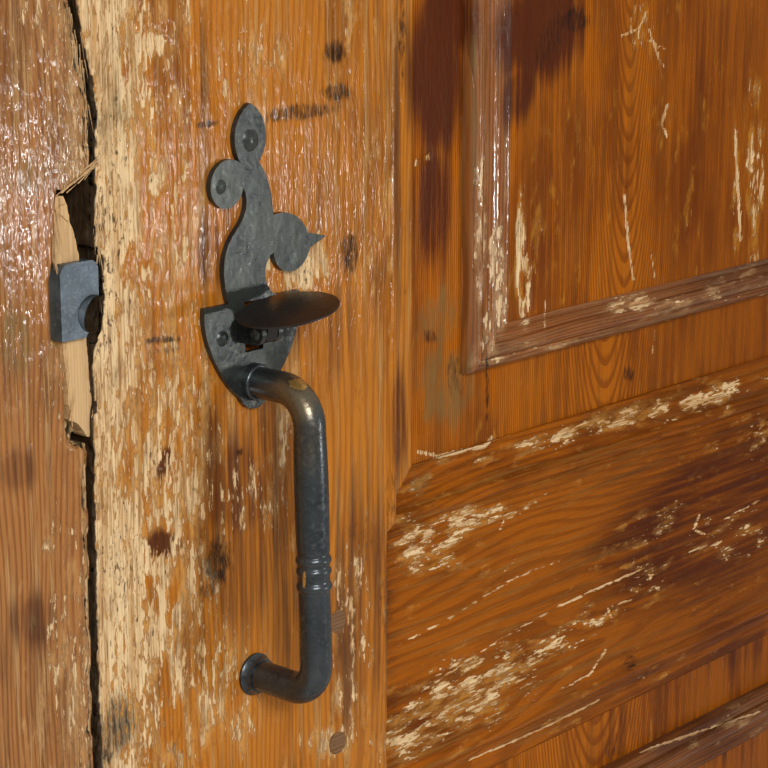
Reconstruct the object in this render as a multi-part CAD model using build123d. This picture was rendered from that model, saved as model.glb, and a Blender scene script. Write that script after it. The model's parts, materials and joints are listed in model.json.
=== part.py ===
from build123d import *

import math
import os

# Arched pine door in its frame, with an iron thumb latch. Millimetres, +Z up.
# X runs across the door, the latch side is -X, and the face with the handle looks along -Y.
# The origin is the middle of the threshold's underside.

# Leaf and frame, seen from the front
LEAF_HALF = 530.0
LEAF_THICK = 50.0
LEAF_BOTTOM = 46.0
SPRING_Z = 1760.0
GAP = 3.0
JAMB_FACE = 95.0
SILL_HEIGHT = 40.0
LIP = 12.0
STOP_DEPTH = 25.0
STOP_GAP = 0.4

# Joinery of the leaf
STILE_FLAT = 194.0
STICK_WIDE = 30.0
STICK_DEEP = 11.0
GROOVE_DEEP = 12.0
GROOVE_WIDE = 16.0
PANEL_PLAY = 0.3
BACK_CHAMFER = 6.0
LOCK_RAIL_LOW = 835.0
LOCK_RAIL_HIGH = 968.0
BOTTOM_RAIL_HIGH = 236.0
TENON_LONG = 94.0
TENON_SHOULDER = 12.0
PEG_RADIUS = 6.0

# Raised mouldings and fields of the panels
UPPER_MARGIN = 42.0
LOWER_MARGIN = 36.0
MOULD_WIDE = 26.0
MOULD_WALL = 9.0
FIELD_BACK = 9.0

# Latch plate, handle and thumb lever
HANDLE_FROM_EDGE = 96.0
LEVER_Z = 1100.0
PLATE_THICK = 3.0
SLOT_WIDE = 12.0
SLOT_LOW = -17.0
SLOT_HIGH = 7.0
SLOT_CLEAR = 15.0
PLATE_NAIL_SHANK = 2.2
PLATE_NAIL_LONG = 28.0
ARM_DROP = 32.0
GRIP_LONG = 147.0
GRIP_OUT_TOP = 38.0
GRIP_OUT_LOW = 42.0
ARM_RADIUS = 7.6
GRIP_SWELL = 8.2
BEND_TOP = 17.0
BEND_LOW = 15.0
ROSE_RADIUS = 10.5
ROSE_THICK = 5.5
PIVOT_OUT = 8.0
PIVOT_DROP = 7.0
PIN_RADIUS = 2.5
PIN_PLAY = 0.06
EAR_THICK = 3.0
EAR_GAP = 0.5
LEVER_WIDE = 7.0
THUMB_ACROSS = 53.0
THUMB_OUT = 42.0
THUMB_THICK = 4.5
THUMB_REACH = 24.5
THUMB_ROLL = 8.0
THUMB_DROOP = 3.0
THUMB_LIFT = 6.0

# Latch bar on the back of the leaf
BAR_PIVOT_FROM_EDGE = 200.0
BAR_HIGH = 20.0
BAR_THICK = 6.0
BAR_STAND = 4.0
BAR_NOSE = 27.0
BAR_TAIL = 16.0
BAR_PIN_RADIUS = 5.0
BAR_MID_Z = 1118.0
BAR_BOLT_LONG = 32.0
TAIL_GAP = 0.4
TAIL_DEEP = 9.0
STAPLE_FROM_EDGE = 40.0
STAPLE_ROD = 5.0
STAPLE_LIFT = 21.0
KNOB_FROM_EDGE = 150.0

# Keeper in the latch jamb
KEEPER_HIGH = 33.5
KEEPER_MID_Z = 1122.0
KEEPER_OUT = 1.5
KEEPER_LEFT = 19.0
KEEPER_RIGHT = -2.5
KEEPER_NAIL_SHANK = 2.2
KEEPER_NAIL_LONG = 26.0
NOTCH_DEEP = 6.5

# Hinges on the back of the leaf
HINGE_HEIGHTS = (150.0, 901.0, 1610.0)
STRAP_REACH = (430.0, 430.0, 210.0)
HINGE_OUT = 22.0
HINGE_BACK = 14.0
STRAP_THICK = 5.0
STRAP_HIGH = 44.0
STRAP_NAIL_SHANK = 2.6
STRAP_NAIL_LONG = 30.0
EYE_RADIUS = 12.0
PINTLE_RADIUS = 6.0
EYE_PLAY = 0.1
EYE_LIFT = 0.4

FRONT = -LEAF_THICK / 2
BACK = LEAF_THICK / 2
LIP_FRONT = FRONT + STOP_DEPTH + STOP_GAP
STOP_BACK = FRONT + STOP_DEPTH
OPENING = LEAF_HALF - STILE_FLAT - STICK_WIDE
FLAT_EDGE = LEAF_HALF - STILE_FLAT
MARGIN_Y = FRONT + STICK_DEEP
GROOVE_BACK = MARGIN_Y + GROOVE_WIDE
HANDLE_X = -LEAF_HALF + HANDLE_FROM_EDGE
PLATE_FRONT = FRONT - PLATE_THICK
FRAME_IN = LEAF_HALF + GAP
FRAME_IN_BACK = LEAF_HALF + LIP + GAP
FRAME_OUT = FRAME_IN + JAMB_FACE
LOWER_OPEN = (BOTTOM_RAIL_HIGH + STICK_WIDE, LOCK_RAIL_LOW - STICK_WIDE)
UPPER_OPEN_LOW = LOCK_RAIL_HIGH + STICK_WIDE
ARCH_AXIS = Axis((0, 0, SPRING_Z), (0, -1, 0))

# The worn meeting line between the leaf and its jamb: height above the threshold, and wander from straight
EDGE_WANDER = (
    (0, 0.0), (SILL_HEIGHT + 10, 0.0), (600, -1.0), (880, -5.0), (1030, -2.5), (1120, 0.0), (1150, 2.5),
    (1180, 4.0), (1208, 4.0), (1228, -0.5), (1250, -4.0), (1330, -4.5), (1500, -2.0), (SPRING_Z, 0.0),
)


def xz_slab(face, y_front, y_back):
    """A flat drawing in X and Z, given a thickness from y_front to y_back."""
    plane = Plane((0, y_back, 0), x_dir=(1, 0, 0), z_dir=(0, -1, 0))
    return extrude(plane * face, amount=y_back - y_front)


def upright(section, z_low, z_high):
    """A section in X and Y, run up along Z."""
    return extrude(Plane.XY.offset(z_low) * section, amount=z_high - z_low)


def crosswise(section, x_low, x_high):
    """A section whose first coordinate is Y and second is Z, run along X."""
    plane = Plane((x_low, 0, 0), x_dir=(0, 1, 0), z_dir=(1, 0, 0))
    return extrude(plane * section, amount=x_high - x_low)


def arched(section, start, sweep):
    """A section in X and Y, turned about the arch's centre from the start angle."""
    ring = revolve(Plane.XY.offset(SPRING_Z) * section, axis=ARCH_AXIS, revolution_arc=sweep)
    return ring.rotate(ARCH_AXIS, start)


def mirrored(shape):
    return mirror(shape, about=Plane.YZ)


def rod(start, end, radius):
    """A round bar between two points."""
    a, b = Vector(*start), Vector(*end)
    return extrude(Plane(a, z_dir=b - a) * Circle(radius), amount=(b - a).length)


def outline(*points):
    return make_face(Polyline(*points, close=True))


def cap(rim, top):
    """The arc of a ball's cap, from a rim point up to the axis."""
    radius, low = rim
    ball = (radius**2 + (top - low) ** 2) / (2 * (top - low))
    half_angle = math.asin(min(1.0, radius / ball)) / 2
    middle = (ball * math.sin(half_angle), top - ball + ball * math.cos(half_angle))
    return ThreePointArc(rim, middle, (0, top))


def dome(centre, outward, radius, height):
    """A forged nail's rounded head, standing on a face."""
    profile = make_face([Line((0, 0), (radius, 0)), cap((radius, 0), height), Line((0, height), (0, 0))])
    head = revolve(Plane.XZ * profile, axis=Axis.Z)
    return Plane(centre, z_dir=outward) * head


def nail(centre, outward, head_radius, head_height, shank_radius, shank_long):
    """A nail: its head outside the face at centre, and its shank inside."""
    shank = Cylinder(shank_radius, shank_long, align=(Align.CENTER, Align.CENTER, Align.MAX))
    return dome(centre, outward, head_radius, head_height) + Plane(centre, z_dir=outward) * shank


# Sections of the joinery


def sticking_points():
    """The moulding stuck on stiles and rails: run from the flat face, and depth below it."""
    bead = (0.0, 0.0), (1.0, 1.6), (2.2, 0.9), (5.5, 0.02), (9.0, 1.2)
    return bead + ((10.0, 3.2), (15.0, 7.4), (21.0, 8.4), (26.0, 8.8))


def member_section():
    """Stile or arch rail, cut across: X from the door's middle, and Y."""
    run = [(FLAT_EDGE - s, FRONT + t) for s, t in sticking_points()]
    quirk, valley, rise, crown, arris, step, hollow, fillet, brow = run
    foot = (OPENING, MARGIN_Y - 2.0)
    front = [
        Line(quirk, valley),
        Line(valley, rise),
        ThreePointArc(rise, crown, arris),
        Line(arris, step),
        ThreePointArc(step, hollow, fillet),
        Line(fillet, brow),
        Line(brow, foot),
    ]
    rest = Polyline(
        foot,
        (OPENING, MARGIN_Y),
        (OPENING + GROOVE_DEEP, MARGIN_Y),
        (OPENING + GROOVE_DEEP, GROOVE_BACK),
        (OPENING, GROOVE_BACK),
        (OPENING, BACK - BACK_CHAMFER),
        (OPENING + BACK_CHAMFER, BACK),
        (LEAF_HALF + LIP, BACK),
        (LEAF_HALF + LIP, LIP_FRONT),
        (LEAF_HALF, LIP_FRONT),
        (LEAF_HALF, FRONT),
        quirk,
    )
    return make_face(front + [rest])


def rail_edge(z_flat, up):
    """What is left of a rail's blank outside its moulded edge, as a cutter in Y and Z."""
    side = 1 if up else -1
    run = [(FRONT + t, z_flat + side * s) for s, t in sticking_points()]
    quirk, valley, rise, crown, arris, step, hollow, fillet, brow = run
    z_open = z_flat + side * STICK_WIDE
    beyond = z_flat + side * (STICK_WIDE + GROOVE_DEEP + 10)
    foot = (MARGIN_Y - 2.0, z_open)
    lines = [
        Line(quirk, valley),
        Line(valley, rise),
        ThreePointArc(rise, crown, arris),
        Line(arris, step),
        ThreePointArc(step, hollow, fillet),
        Line(fillet, brow),
        Line(brow, foot),
        Polyline(
            foot,
            (MARGIN_Y, z_open),
            (MARGIN_Y, z_open - side * GROOVE_DEEP),
            (GROOVE_BACK, z_open - side * GROOVE_DEEP),
            (GROOVE_BACK, z_open),
            (BACK - BACK_CHAMFER, z_open),
            (BACK, z_open - side * BACK_CHAMFER),
            (BACK + 10, z_open - side * BACK_CHAMFER),
            (BACK + 10, beyond),
            (FRONT - 10, beyond),
            (FRONT - 10, z_flat),
            quirk,
        ),
    ]
    return crosswise(make_face(lines), -LEAF_HALF, LEAF_HALF)


def moulding_section(margin):
    """The planted moulding round a field: X from the door's middle, and Y."""
    out = OPENING - margin
    y = MARGIN_Y

    def at(run, height):
        return (out - run, y - height)

    lines = [
        Line(at(0, 0), at(0.6, 3.0)),
        ThreePointArc(at(0.6, 3.0), at(1.6, 6.6), at(4.0, MOULD_WALL)),
        Line(at(4.0, MOULD_WALL), at(7.0, MOULD_WALL)),
        Line(at(7.0, MOULD_WALL), at(7.6, MOULD_WALL - 1.2)),
        ThreePointArc(at(7.6, MOULD_WALL - 1.2), at(12.2, MOULD_WALL + 4.0), at(16.8, MOULD_WALL - 0.6)),
        ThreePointArc(at(16.8, MOULD_WALL - 0.6), at(20.2, MOULD_WALL - 0.4), at(22.8, MOULD_WALL + 1.6)),
        Line(at(22.8, MOULD_WALL + 1.6), at(MOULD_WIDE, STICK_DEEP + 0.8)),
        Line(at(MOULD_WIDE, STICK_DEEP + 0.8), at(MOULD_WIDE, 0)),
        Line(at(MOULD_WIDE, 0), at(0, 0)),
    ]
    return make_face(lines)


def jamb_section():
    return outline(
        (FRAME_IN, FRONT),
        (FRAME_OUT, FRONT),
        (FRAME_OUT, BACK),
        (FRAME_IN_BACK, BACK),
        (FRAME_IN_BACK, STOP_BACK),
        (FRAME_IN, STOP_BACK),
    )


# Joints between the members


def rail_prism(flat_low, flat_high, grow=0.0):
    """A rail seen from the front: square at the stile's flat, and mitred through the moulded edges."""
    low = flat_low - STICK_WIDE
    high = flat_high + STICK_WIDE
    corners = []
    for side in (1, -1):
        run = [(OPENING, high), (FLAT_EDGE, flat_high), (FLAT_EDGE, flat_low), (OPENING, low)]
        corners += [(side * x, z) for x, z in (run if side > 0 else reversed(run))]
    return xz_slab(outline(*corners), FRONT - 20, BACK + 20)


def tenon(flat_low, flat_high, play=0.0):
    """A rail's tenon in the latch stile; the hinge side has its mirror image."""
    z_low = flat_low + TENON_SHOULDER
    z_high = flat_high - TENON_SHOULDER
    block = Box(TENON_LONG + play, GROOVE_WIDE, z_high - z_low)
    middle = Pos(-FLAT_EDGE - (TENON_LONG + play) / 2, (MARGIN_Y + GROOVE_BACK) / 2, (z_low + z_high) / 2)
    return middle * block


def rail(flat_low, flat_high, lower_edge):
    blank = crosswise(
        outline(
            (FRONT, flat_low - (STICK_WIDE if lower_edge else 0)),
            (FRONT, flat_high + STICK_WIDE),
            (BACK, flat_high + STICK_WIDE),
            (BACK, flat_low - (STICK_WIDE if lower_edge else 0)),
        ),
        -FLAT_EDGE,
        FLAT_EDGE,
    )
    blank -= rail_edge(flat_high, True)
    if lower_edge:
        blank -= rail_edge(flat_low, False)
    blank &= rail_prism(flat_low, flat_high)
    tongue = tenon(flat_low, flat_high)
    return blank + tongue + mirrored(tongue)


def arch_tenon(play=0.0):
    """The tenon on a stile's top, in the foot of the arch rail on the hinge side."""
    wide = STILE_FLAT - 60
    block = Box(wide, GROOVE_WIDE, 60 + play, align=(Align.CENTER, Align.CENTER, Align.MIN))
    return Pos(FLAT_EDGE + 25 + wide / 2, (MARGIN_Y + GROOVE_BACK) / 2, SPRING_Z) * block


def crown_tenon(inner, outer, deep, play=0.0):
    """The tongue that joins two arch pieces at the crown."""
    high = outer - inner
    block = Box(45 + play, deep, high, align=(Align.MIN, Align.CENTER, Align.CENTER))
    return Pos(0, (MARGIN_Y + GROOVE_BACK) / 2, SPRING_Z + (inner + outer) / 2) * block


def worn_edge(x_side, offset):
    """The region outside the worn meeting line, in front of the lip, on the latch side."""
    line = Spline(*[(-LEAF_HALF + wander + offset, z) for z, wander in EDGE_WANDER])
    top, low = (-LEAF_HALF + offset, SPRING_Z), (-LEAF_HALF + offset, 0)
    back = Polyline(top, (x_side, SPRING_Z), (x_side, 0), low)
    return make_face([line, back])


# Pieces of the leaf


def stile_blank():
    return upright(member_section(), LEAF_BOTTOM, SPRING_Z) + arch_tenon()


def peg_places():
    """Middle of each draw peg on the hinge side of the leaf: X and Z."""
    x_rail = LEAF_HALF - 156
    places = [(x_rail, LOCK_RAIL_HIGH - 36), (x_rail, LOCK_RAIL_LOW + 31)]
    places += [(x_rail, BOTTOM_RAIL_HIGH - 45), (x_rail, LEAF_BOTTOM + 60)]
    places += [(FLAT_EDGE + 55, SPRING_Z + 30), (FLAT_EDGE + 130, SPRING_Z + 30)]
    places += [(22, SPRING_Z + FLAT_EDGE + 50), (22, SPRING_Z + FLAT_EDGE + 140)]
    return places


def peg(x, z, proud=0.0):
    return rod((x, FRONT - proud, z), (x, BACK, z), PEG_RADIUS)


def leaf_peg_set():
    group = [peg(x, z) for x, z in peg_places()]
    return group + [mirrored(p) for p in group]


def frame_peg_places():
    mid = (FRAME_IN_BACK + FRAME_OUT) / 2
    return [(mid, SPRING_Z + 25), (mid, SILL_HEIGHT / 2), (20, SPRING_Z + mid)]


def frame_peg_set():
    group = [peg(x, z) for x, z in frame_peg_places()]
    return group + [mirrored(p) for p in group]


def drill(shape, places):
    for x, z in places:
        hole = peg(x, z, proud=1)
        shape -= hole
        shape -= mirrored(hole)
    return shape


def hinge_stile():
    body = stile_blank()
    body -= rail_prism(LOCK_RAIL_LOW, LOCK_RAIL_HIGH)
    body -= rail_prism(LEAF_BOTTOM - STICK_WIDE - 5, BOTTOM_RAIL_HIGH)
    body -= mirrored(tenon(LOCK_RAIL_LOW, LOCK_RAIL_HIGH, play=1))
    body -= mirrored(tenon(LEAF_BOTTOM, BOTTOM_RAIL_HIGH, play=1))
    return nailed(drill(body, peg_places()))


def nailed(body):
    """Holes for the strap hinges' nails, from the back."""
    for z, reach in zip(HINGE_HEIGHTS, STRAP_REACH):
        for x, pz in strap_nail_places(z, reach):
            inner = BACK + STRAP_THICK - STRAP_NAIL_LONG
            body -= rod((x, inner, pz), (x, BACK + 1, pz), STRAP_NAIL_SHANK)
    return body


def lever_slot():
    """The slot through the stile for the thumb lever's tail."""
    high = SLOT_HIGH - SLOT_LOW + SLOT_CLEAR
    block = Box(SLOT_WIDE, LEAF_THICK + 2, high, align=(Align.CENTER, Align.CENTER, Align.MIN))
    return Pos(HANDLE_X, 0, LEVER_Z + SLOT_LOW) * block


def edge_notch():
    """The bite worn out of the stile's edge beside the keeper."""
    x = -LEAF_HALF
    points = ((-12, 1099), (1, 1101), (5, 1106), (NOTCH_DEEP, 1114), (NOTCH_DEEP, 1136), (4.5, 1143), (-12, 1148))
    return outline(*[(x + p, z) for p, z in points])


def latch_stile():
    body = upright(member_section(), LEAF_BOTTOM, SPRING_Z)
    lip_gap = Pos(LEAF_HALF - 15, FRONT + (LIP_FRONT - FRONT) / 2, SPRING_Z / 2)
    body += lip_gap * Box(50, LIP_FRONT - FRONT, SPRING_Z - 2 * LEAF_BOTTOM)
    body = mirrored(body)
    body -= xz_slab(worn_edge(-LEAF_HALF - 60, 0), FRONT - 5, LIP_FRONT)
    body -= xz_slab(edge_notch(), FRONT - 5, LIP_FRONT)
    body += mirrored(arch_tenon())
    body -= rail_prism(LOCK_RAIL_LOW, LOCK_RAIL_HIGH)
    body -= rail_prism(LEAF_BOTTOM - STICK_WIDE - 5, BOTTOM_RAIL_HIGH)
    body -= tenon(LOCK_RAIL_LOW, LOCK_RAIL_HIGH, play=1)
    body -= tenon(LEAF_BOTTOM, BOTTOM_RAIL_HIGH, play=1)
    body -= lever_slot()
    bolt_x = bar_pivot_x()
    body -= rod((bolt_x, BACK - BAR_BOLT_LONG, BAR_MID_Z), (bolt_x, BACK + 1, BAR_MID_Z), BAR_PIN_RADIUS)
    body -= latch_staple()
    for x, z in plate_nail_places():
        body -= rod((x, FRONT - 1, z), (x, FRONT - PLATE_THICK + PLATE_NAIL_LONG, z), PLATE_NAIL_SHANK)
    return drill(body, peg_places())


def arch_rail_right():
    body = arched(member_section(), 0, 90) - arch_tenon(play=1)
    body -= crown_tenon(FLAT_EDGE + 20, LEAF_HALF - 20, GROOVE_WIDE, play=1)
    return drill(body, peg_places())


def arch_rail_left():
    body = arched(member_section(), 90, 90) - mirrored(arch_tenon(play=1))
    body += crown_tenon(FLAT_EDGE + 20, LEAF_HALF - 20, GROOVE_WIDE)
    return drill(body, peg_places())


def gothic_face(half, z_low):
    """A round-headed outline about the arch's centre."""
    return make_face(
        [
            Line((-half, SPRING_Z), (-half, z_low)),
            Line((-half, z_low), (half, z_low)),
            Line((half, z_low), (half, SPRING_Z)),
            ThreePointArc((half, SPRING_Z), (0, SPRING_Z + half), (-half, SPRING_Z)),
        ]
    )


def box_face(half, z_low, z_high):
    return Pos(0, (z_low + z_high) / 2) * Rectangle(2 * half, z_high - z_low)


def upper_panel():
    edge = OPENING + GROOVE_DEEP - PANEL_PLAY
    field = OPENING - UPPER_MARGIN - MOULD_WIDE
    low = UPPER_OPEN_LOW
    tongue = gothic_face(edge, low - GROOVE_DEEP + PANEL_PLAY)
    raised = gothic_face(field, low + UPPER_MARGIN + MOULD_WIDE)
    body = xz_slab(tongue, MARGIN_Y, GROOVE_BACK - PANEL_PLAY)
    body += xz_slab(raised, FRONT, GROOVE_BACK + FIELD_BACK)
    return body


def lower_panel():
    edge = OPENING + GROOVE_DEEP - PANEL_PLAY
    field = OPENING - LOWER_MARGIN - MOULD_WIDE
    low, high = LOWER_OPEN
    tongue = box_face(edge, low - GROOVE_DEEP + PANEL_PLAY, high + GROOVE_DEEP - PANEL_PLAY)
    inset = LOWER_MARGIN + MOULD_WIDE
    raised = box_face(field, low + inset, high - inset)
    body = xz_slab(tongue, MARGIN_Y, GROOVE_BACK - PANEL_PLAY)
    body += xz_slab(raised, FRONT, GROOVE_BACK + FIELD_BACK)
    return body


def wedge_face(corner_a, corner_b, inward):
    """A strip seen from the front, mitred at both ends; inward points to the field."""
    (ax, az), (bx, bz) = corner_a, corner_b
    ix, iz = inward
    length = math.dist(corner_a, corner_b)
    ux, uz = (bx - ax) / length, (bz - az) / length
    deep = MOULD_WIDE
    return outline(
        (ax, az),
        (bx, bz),
        (bx - ux * deep + ix * deep, bz - uz * deep + iz * deep),
        (ax + ux * deep + ix * deep, az + uz * deep + iz * deep),
    )


def side_moulding(margin, z_low, z_high, mitre_top):
    """The moulding up the field's right side."""
    x = OPENING - margin
    strip = upright(moulding_section(margin), z_low, z_high)
    top = z_high if mitre_top else z_high + MOULD_WIDE
    ends = xz_slab(wedge_face((x, z_low), (x, top), (-1, 0)), FRONT - 20, BACK)
    return strip & ends


def level_moulding(margin, z_out, up):
    """The moulding along the field's bottom, or along its top when up is false."""
    x = OPENING - margin
    side = 1 if up else -1
    strip = moulding_section(margin)
    turned = crosswise(make_face(Wire([swap_edge(e, margin, z_out, side) for e in strip.edges()])), -x, x)
    ends = xz_slab(wedge_face((-x, z_out), (x, z_out), (0, side)), FRONT - 20, BACK)
    return turned & ends


def swap_edge(edge, margin, z_out, side):
    """An edge of the moulding's section, moved from X and Y to Y and Z at a level moulding."""
    out = OPENING - margin

    def place(p):
        return (p.Y, z_out + side * (out - p.X))

    start, middle, end = (place(edge.position_at(t)) for t in (0, 0.5, 1))
    if edge.geom_type == GeomType.LINE:
        return Line(start, end)
    return ThreePointArc(start, middle, end)


def arch_moulding_right():
    return arched(moulding_section(UPPER_MARGIN), 0, 90)


# Ironwork on the front


def plate_outline():
    """The scrolled latch plate, about the lever's middle: leaf tip, two lobes, stem and shield."""
    tip = [
        ThreePointArc((-7, 72), (-10.7, 84), (-0.4, 99)),
        ThreePointArc((-0.4, 99), (9.7, 82), (4.6, 71.5)),
    ]
    stem_right = Spline((4.6, 71.5), (9.7, 64.6), (12.9, 54), (14.1, 45.6))
    lobe_right = [
        ThreePointArc((14.1, 45.6), (28.5, 43.8), (37.6, 34.5)),
        Line((37.6, 34.5), (50, 31.5)),
        Line((50, 31.5), (38.6, 27)),
        ThreePointArc((38.6, 27), (32, 18.8), (22, 17.9)),
        ThreePointArc((22, 17.9), (16.6, 21.2), (13.9, 28)),
    ]
    notch = Spline((13.9, 28), (9.2, 23.4), (8.2, 18.5), (10.2, 12), (16, 7.5))
    shield = [
        Line((16, 7.5), (31.5, 7.5)),
        Spline((31.5, 7.5), (31.6, 0), (28.6, -12), (23.5, -22), (17, -30.5), (10.5, -36.5)),
        ThreePointArc((10.5, -36.5), (0.6, -45), (-9.3, -38.6)),
        Spline((-9.3, -38.6), (-18, -30), (-24.6, -20), (-29.4, -10), (-31.8, 0), (-31.5, 7.5)),
        Line((-31.5, 7.5), (-16.2, 7.5)),
    ]
    stem_left = Spline((-16.2, 7.5), (-18.7, 19), (-17.6, 31), (-12.5, 39.3), (-6.2, 46), (-3.6, 54), (-5.6, 60.5))
    lobe_left = [
        ThreePointArc((-5.6, 60.5), (-14.5, 52.2), (-25.6, 58)),
        ThreePointArc((-25.6, 58), (-22.5, 71.3), (-7, 72)),
    ]
    return make_face(tip + [stem_right] + lobe_right + [notch] + shield + [stem_left] + lobe_left)


def latch_plate():
    face = Pos(HANDLE_X, LEVER_Z) * plate_outline()
    body = xz_slab(face, PLATE_FRONT, FRONT)
    slot = Box(SLOT_WIDE, 20, SLOT_HIGH - SLOT_LOW)
    body -= Pos(HANDLE_X, FRONT, LEVER_Z + (SLOT_HIGH + SLOT_LOW) / 2) * slot
    ear_high = 11.0
    for side in (-1, 1):
        x = HANDLE_X + side * (LEVER_WIDE / 2 + EAR_GAP + EAR_THICK / 2)
        ear = Box(EAR_THICK, PIVOT_OUT + 1, ear_high, align=(Align.CENTER, Align.MAX, Align.CENTER))
        body += Pos(x, PLATE_FRONT + 1, LEVER_Z - PIVOT_DROP) * ear
        body += rod(
            (x - EAR_THICK / 2, PLATE_FRONT - PIVOT_OUT + 1, LEVER_Z - PIVOT_DROP),
            (x + EAR_THICK / 2, PLATE_FRONT - PIVOT_OUT + 1, LEVER_Z - PIVOT_DROP),
            ear_high / 2,
        )
    y, z = pivot_place()
    body -= rod((HANDLE_X - 20, y, z), (HANDLE_X + 20, y, z), PIN_RADIUS)
    for x, z in plate_nail_places():
        body -= rod((x, FRONT + 1, z), (x, PLATE_FRONT - 1, z), PLATE_NAIL_SHANK)
    return body


def pivot_place():
    """Height and depth of the thumb lever's pin."""
    return PLATE_FRONT - PIVOT_OUT + 1, LEVER_Z - PIVOT_DROP


def plate_nail_places():
    spots = ((-0.5, 82), (-20, 62.5), (-20.6, -8), (22, -10))
    return [(HANDLE_X + p, LEVER_Z + q) for p, q in spots]


def plate_nails():
    heads = ((5.2, 1.8), (3.4, 1.0), (3.8, 1.6), (3.8, 1.6))
    group = []
    for (x, z), (radius, height) in zip(plate_nail_places(), heads):
        place = (x, PLATE_FRONT, z)
        group.append(nail(place, (0, -1, 0), radius, height, PLATE_NAIL_SHANK, PLATE_NAIL_LONG))
    return group


def lever_pin():
    y, z = pivot_place()
    half = LEVER_WIDE / 2 + EAR_GAP + EAR_THICK
    body = rod((HANDLE_X - half, y, z), (HANDLE_X + half, y, z), PIN_RADIUS)
    body += dome((HANDLE_X - half, y, z), (-1, 0, 0), 3.6, 1.6)
    body += dome((HANDLE_X + half, y, z), (1, 0, 0), 3.6, 1.6)
    return body


def thumb_lever():
    y, z = pivot_place()
    wide = LEVER_WIDE
    half = THUMB_ACROSS / 2
    side = THUMB_OUT / THUMB_ACROSS
    press = make_face(
        [
            Line((0, -THUMB_THICK * 0.5), (half, -THUMB_THICK * 0.1)),
            Line((half, -THUMB_THICK * 0.1), (half, THUMB_THICK * 0.1)),
            cap((half, THUMB_THICK * 0.1), THUMB_THICK * 0.5),
            Line((0, THUMB_THICK * 0.5), (0, -THUMB_THICK * 0.5)),
        ]
    )
    dish = revolve(Plane.XZ * press, axis=Axis.Z)
    dish = scale(dish, by=(1, side, 1))
    dish = Rot(THUMB_DROOP, -THUMB_ROLL, 0) * dish
    dish = Pos(HANDLE_X - 2, PLATE_FRONT - THUMB_REACH, LEVER_Z + THUMB_LIFT) * dish
    tail_top = BAR_MID_Z - BAR_HIGH / 2 - TAIL_GAP
    bar_y = BACK + BAR_STAND
    far = bar_y + BAR_THICK + 8
    neck = crosswise(
        outline(
            (PLATE_FRONT - THUMB_REACH - 6, LEVER_Z + THUMB_LIFT + 0.5),
            (PLATE_FRONT - 14, LEVER_Z + THUMB_LIFT - 4.5),
            (y - 4.6, z - 3.5),
            (y - 1.5, z - 5.2),
            (y + 3, z - 4.6),
            (FRONT + 6, z - 3.2),
            (BACK - 6, tail_top - TAIL_DEEP - 4),
            (BACK + 2, tail_top - TAIL_DEEP),
            (far, tail_top - TAIL_DEEP + 4),
            (far, tail_top - 2.2),
            (far - 5, tail_top - 0.8),
            (bar_y + BAR_THICK, tail_top),
            (bar_y - 1, tail_top),
            (BACK - 4, tail_top - 2),
            (FRONT + 6, z + 5.6),
            (PLATE_FRONT - 3, z + 6.2),
            (PLATE_FRONT - 8, LEVER_Z + THUMB_LIFT),
            (PLATE_FRONT - THUMB_REACH + 4, LEVER_Z + THUMB_LIFT + 1.2),
        ),
        HANDLE_X - wide / 2,
        HANDLE_X + wide / 2,
    )
    body = neck + dish
    return body - rod((HANDLE_X - 10, y, z), (HANDLE_X + 10, y, z), PIN_RADIUS + PIN_PLAY)


def pull_handle():
    """Bent round bar with a swelled grip and two turned rings, from the plate to its lower rose."""
    top_z = LEVER_Z - ARM_DROP
    low_z = top_z - GRIP_LONG
    y_top = FRONT - GRIP_OUT_TOP
    y_low = FRONT - GRIP_OUT_LOW
    seat_top = PLATE_FRONT
    seat_low = FRONT - ROSE_THICK + 1
    lean = math.atan2(GRIP_OUT_LOW - GRIP_OUT_TOP, GRIP_LONG)
    path_points = [(HANDLE_X, seat_top, top_z), (HANDLE_X, y_top, top_z)]
    path_points += [(HANDLE_X, y_low, low_z), (HANDLE_X, seat_low, low_z)]
    top_arm = FilletPolyline(*path_points[:2], mid_point(path_points[1], path_points[2]), radius=BEND_TOP)
    low_arm = FilletPolyline(mid_point(path_points[1], path_points[2]), *path_points[2:], radius=BEND_LOW)
    section = Circle(ARM_RADIUS)
    body = sweep(Plane(top_arm @ 0, z_dir=top_arm % 0) * section, path=top_arm)
    body += sweep(Plane(low_arm @ 0, z_dir=low_arm % 0) * section, path=low_arm)
    body += grip_turning(path_points[1], path_points[2])
    collar = Plane((HANDLE_X, seat_top, top_z), z_dir=(0, -1, 0)) * Cylinder(
        ARM_RADIUS + 1.4, 4.0, align=(Align.CENTER, Align.CENTER, Align.MIN)
    )
    return body + fillet(collar.edges().sort_by(Axis.Y)[0], 1.3)


def mid_point(a, b):
    return tuple((p + q) / 2 for p, q in zip(a, b))


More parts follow.
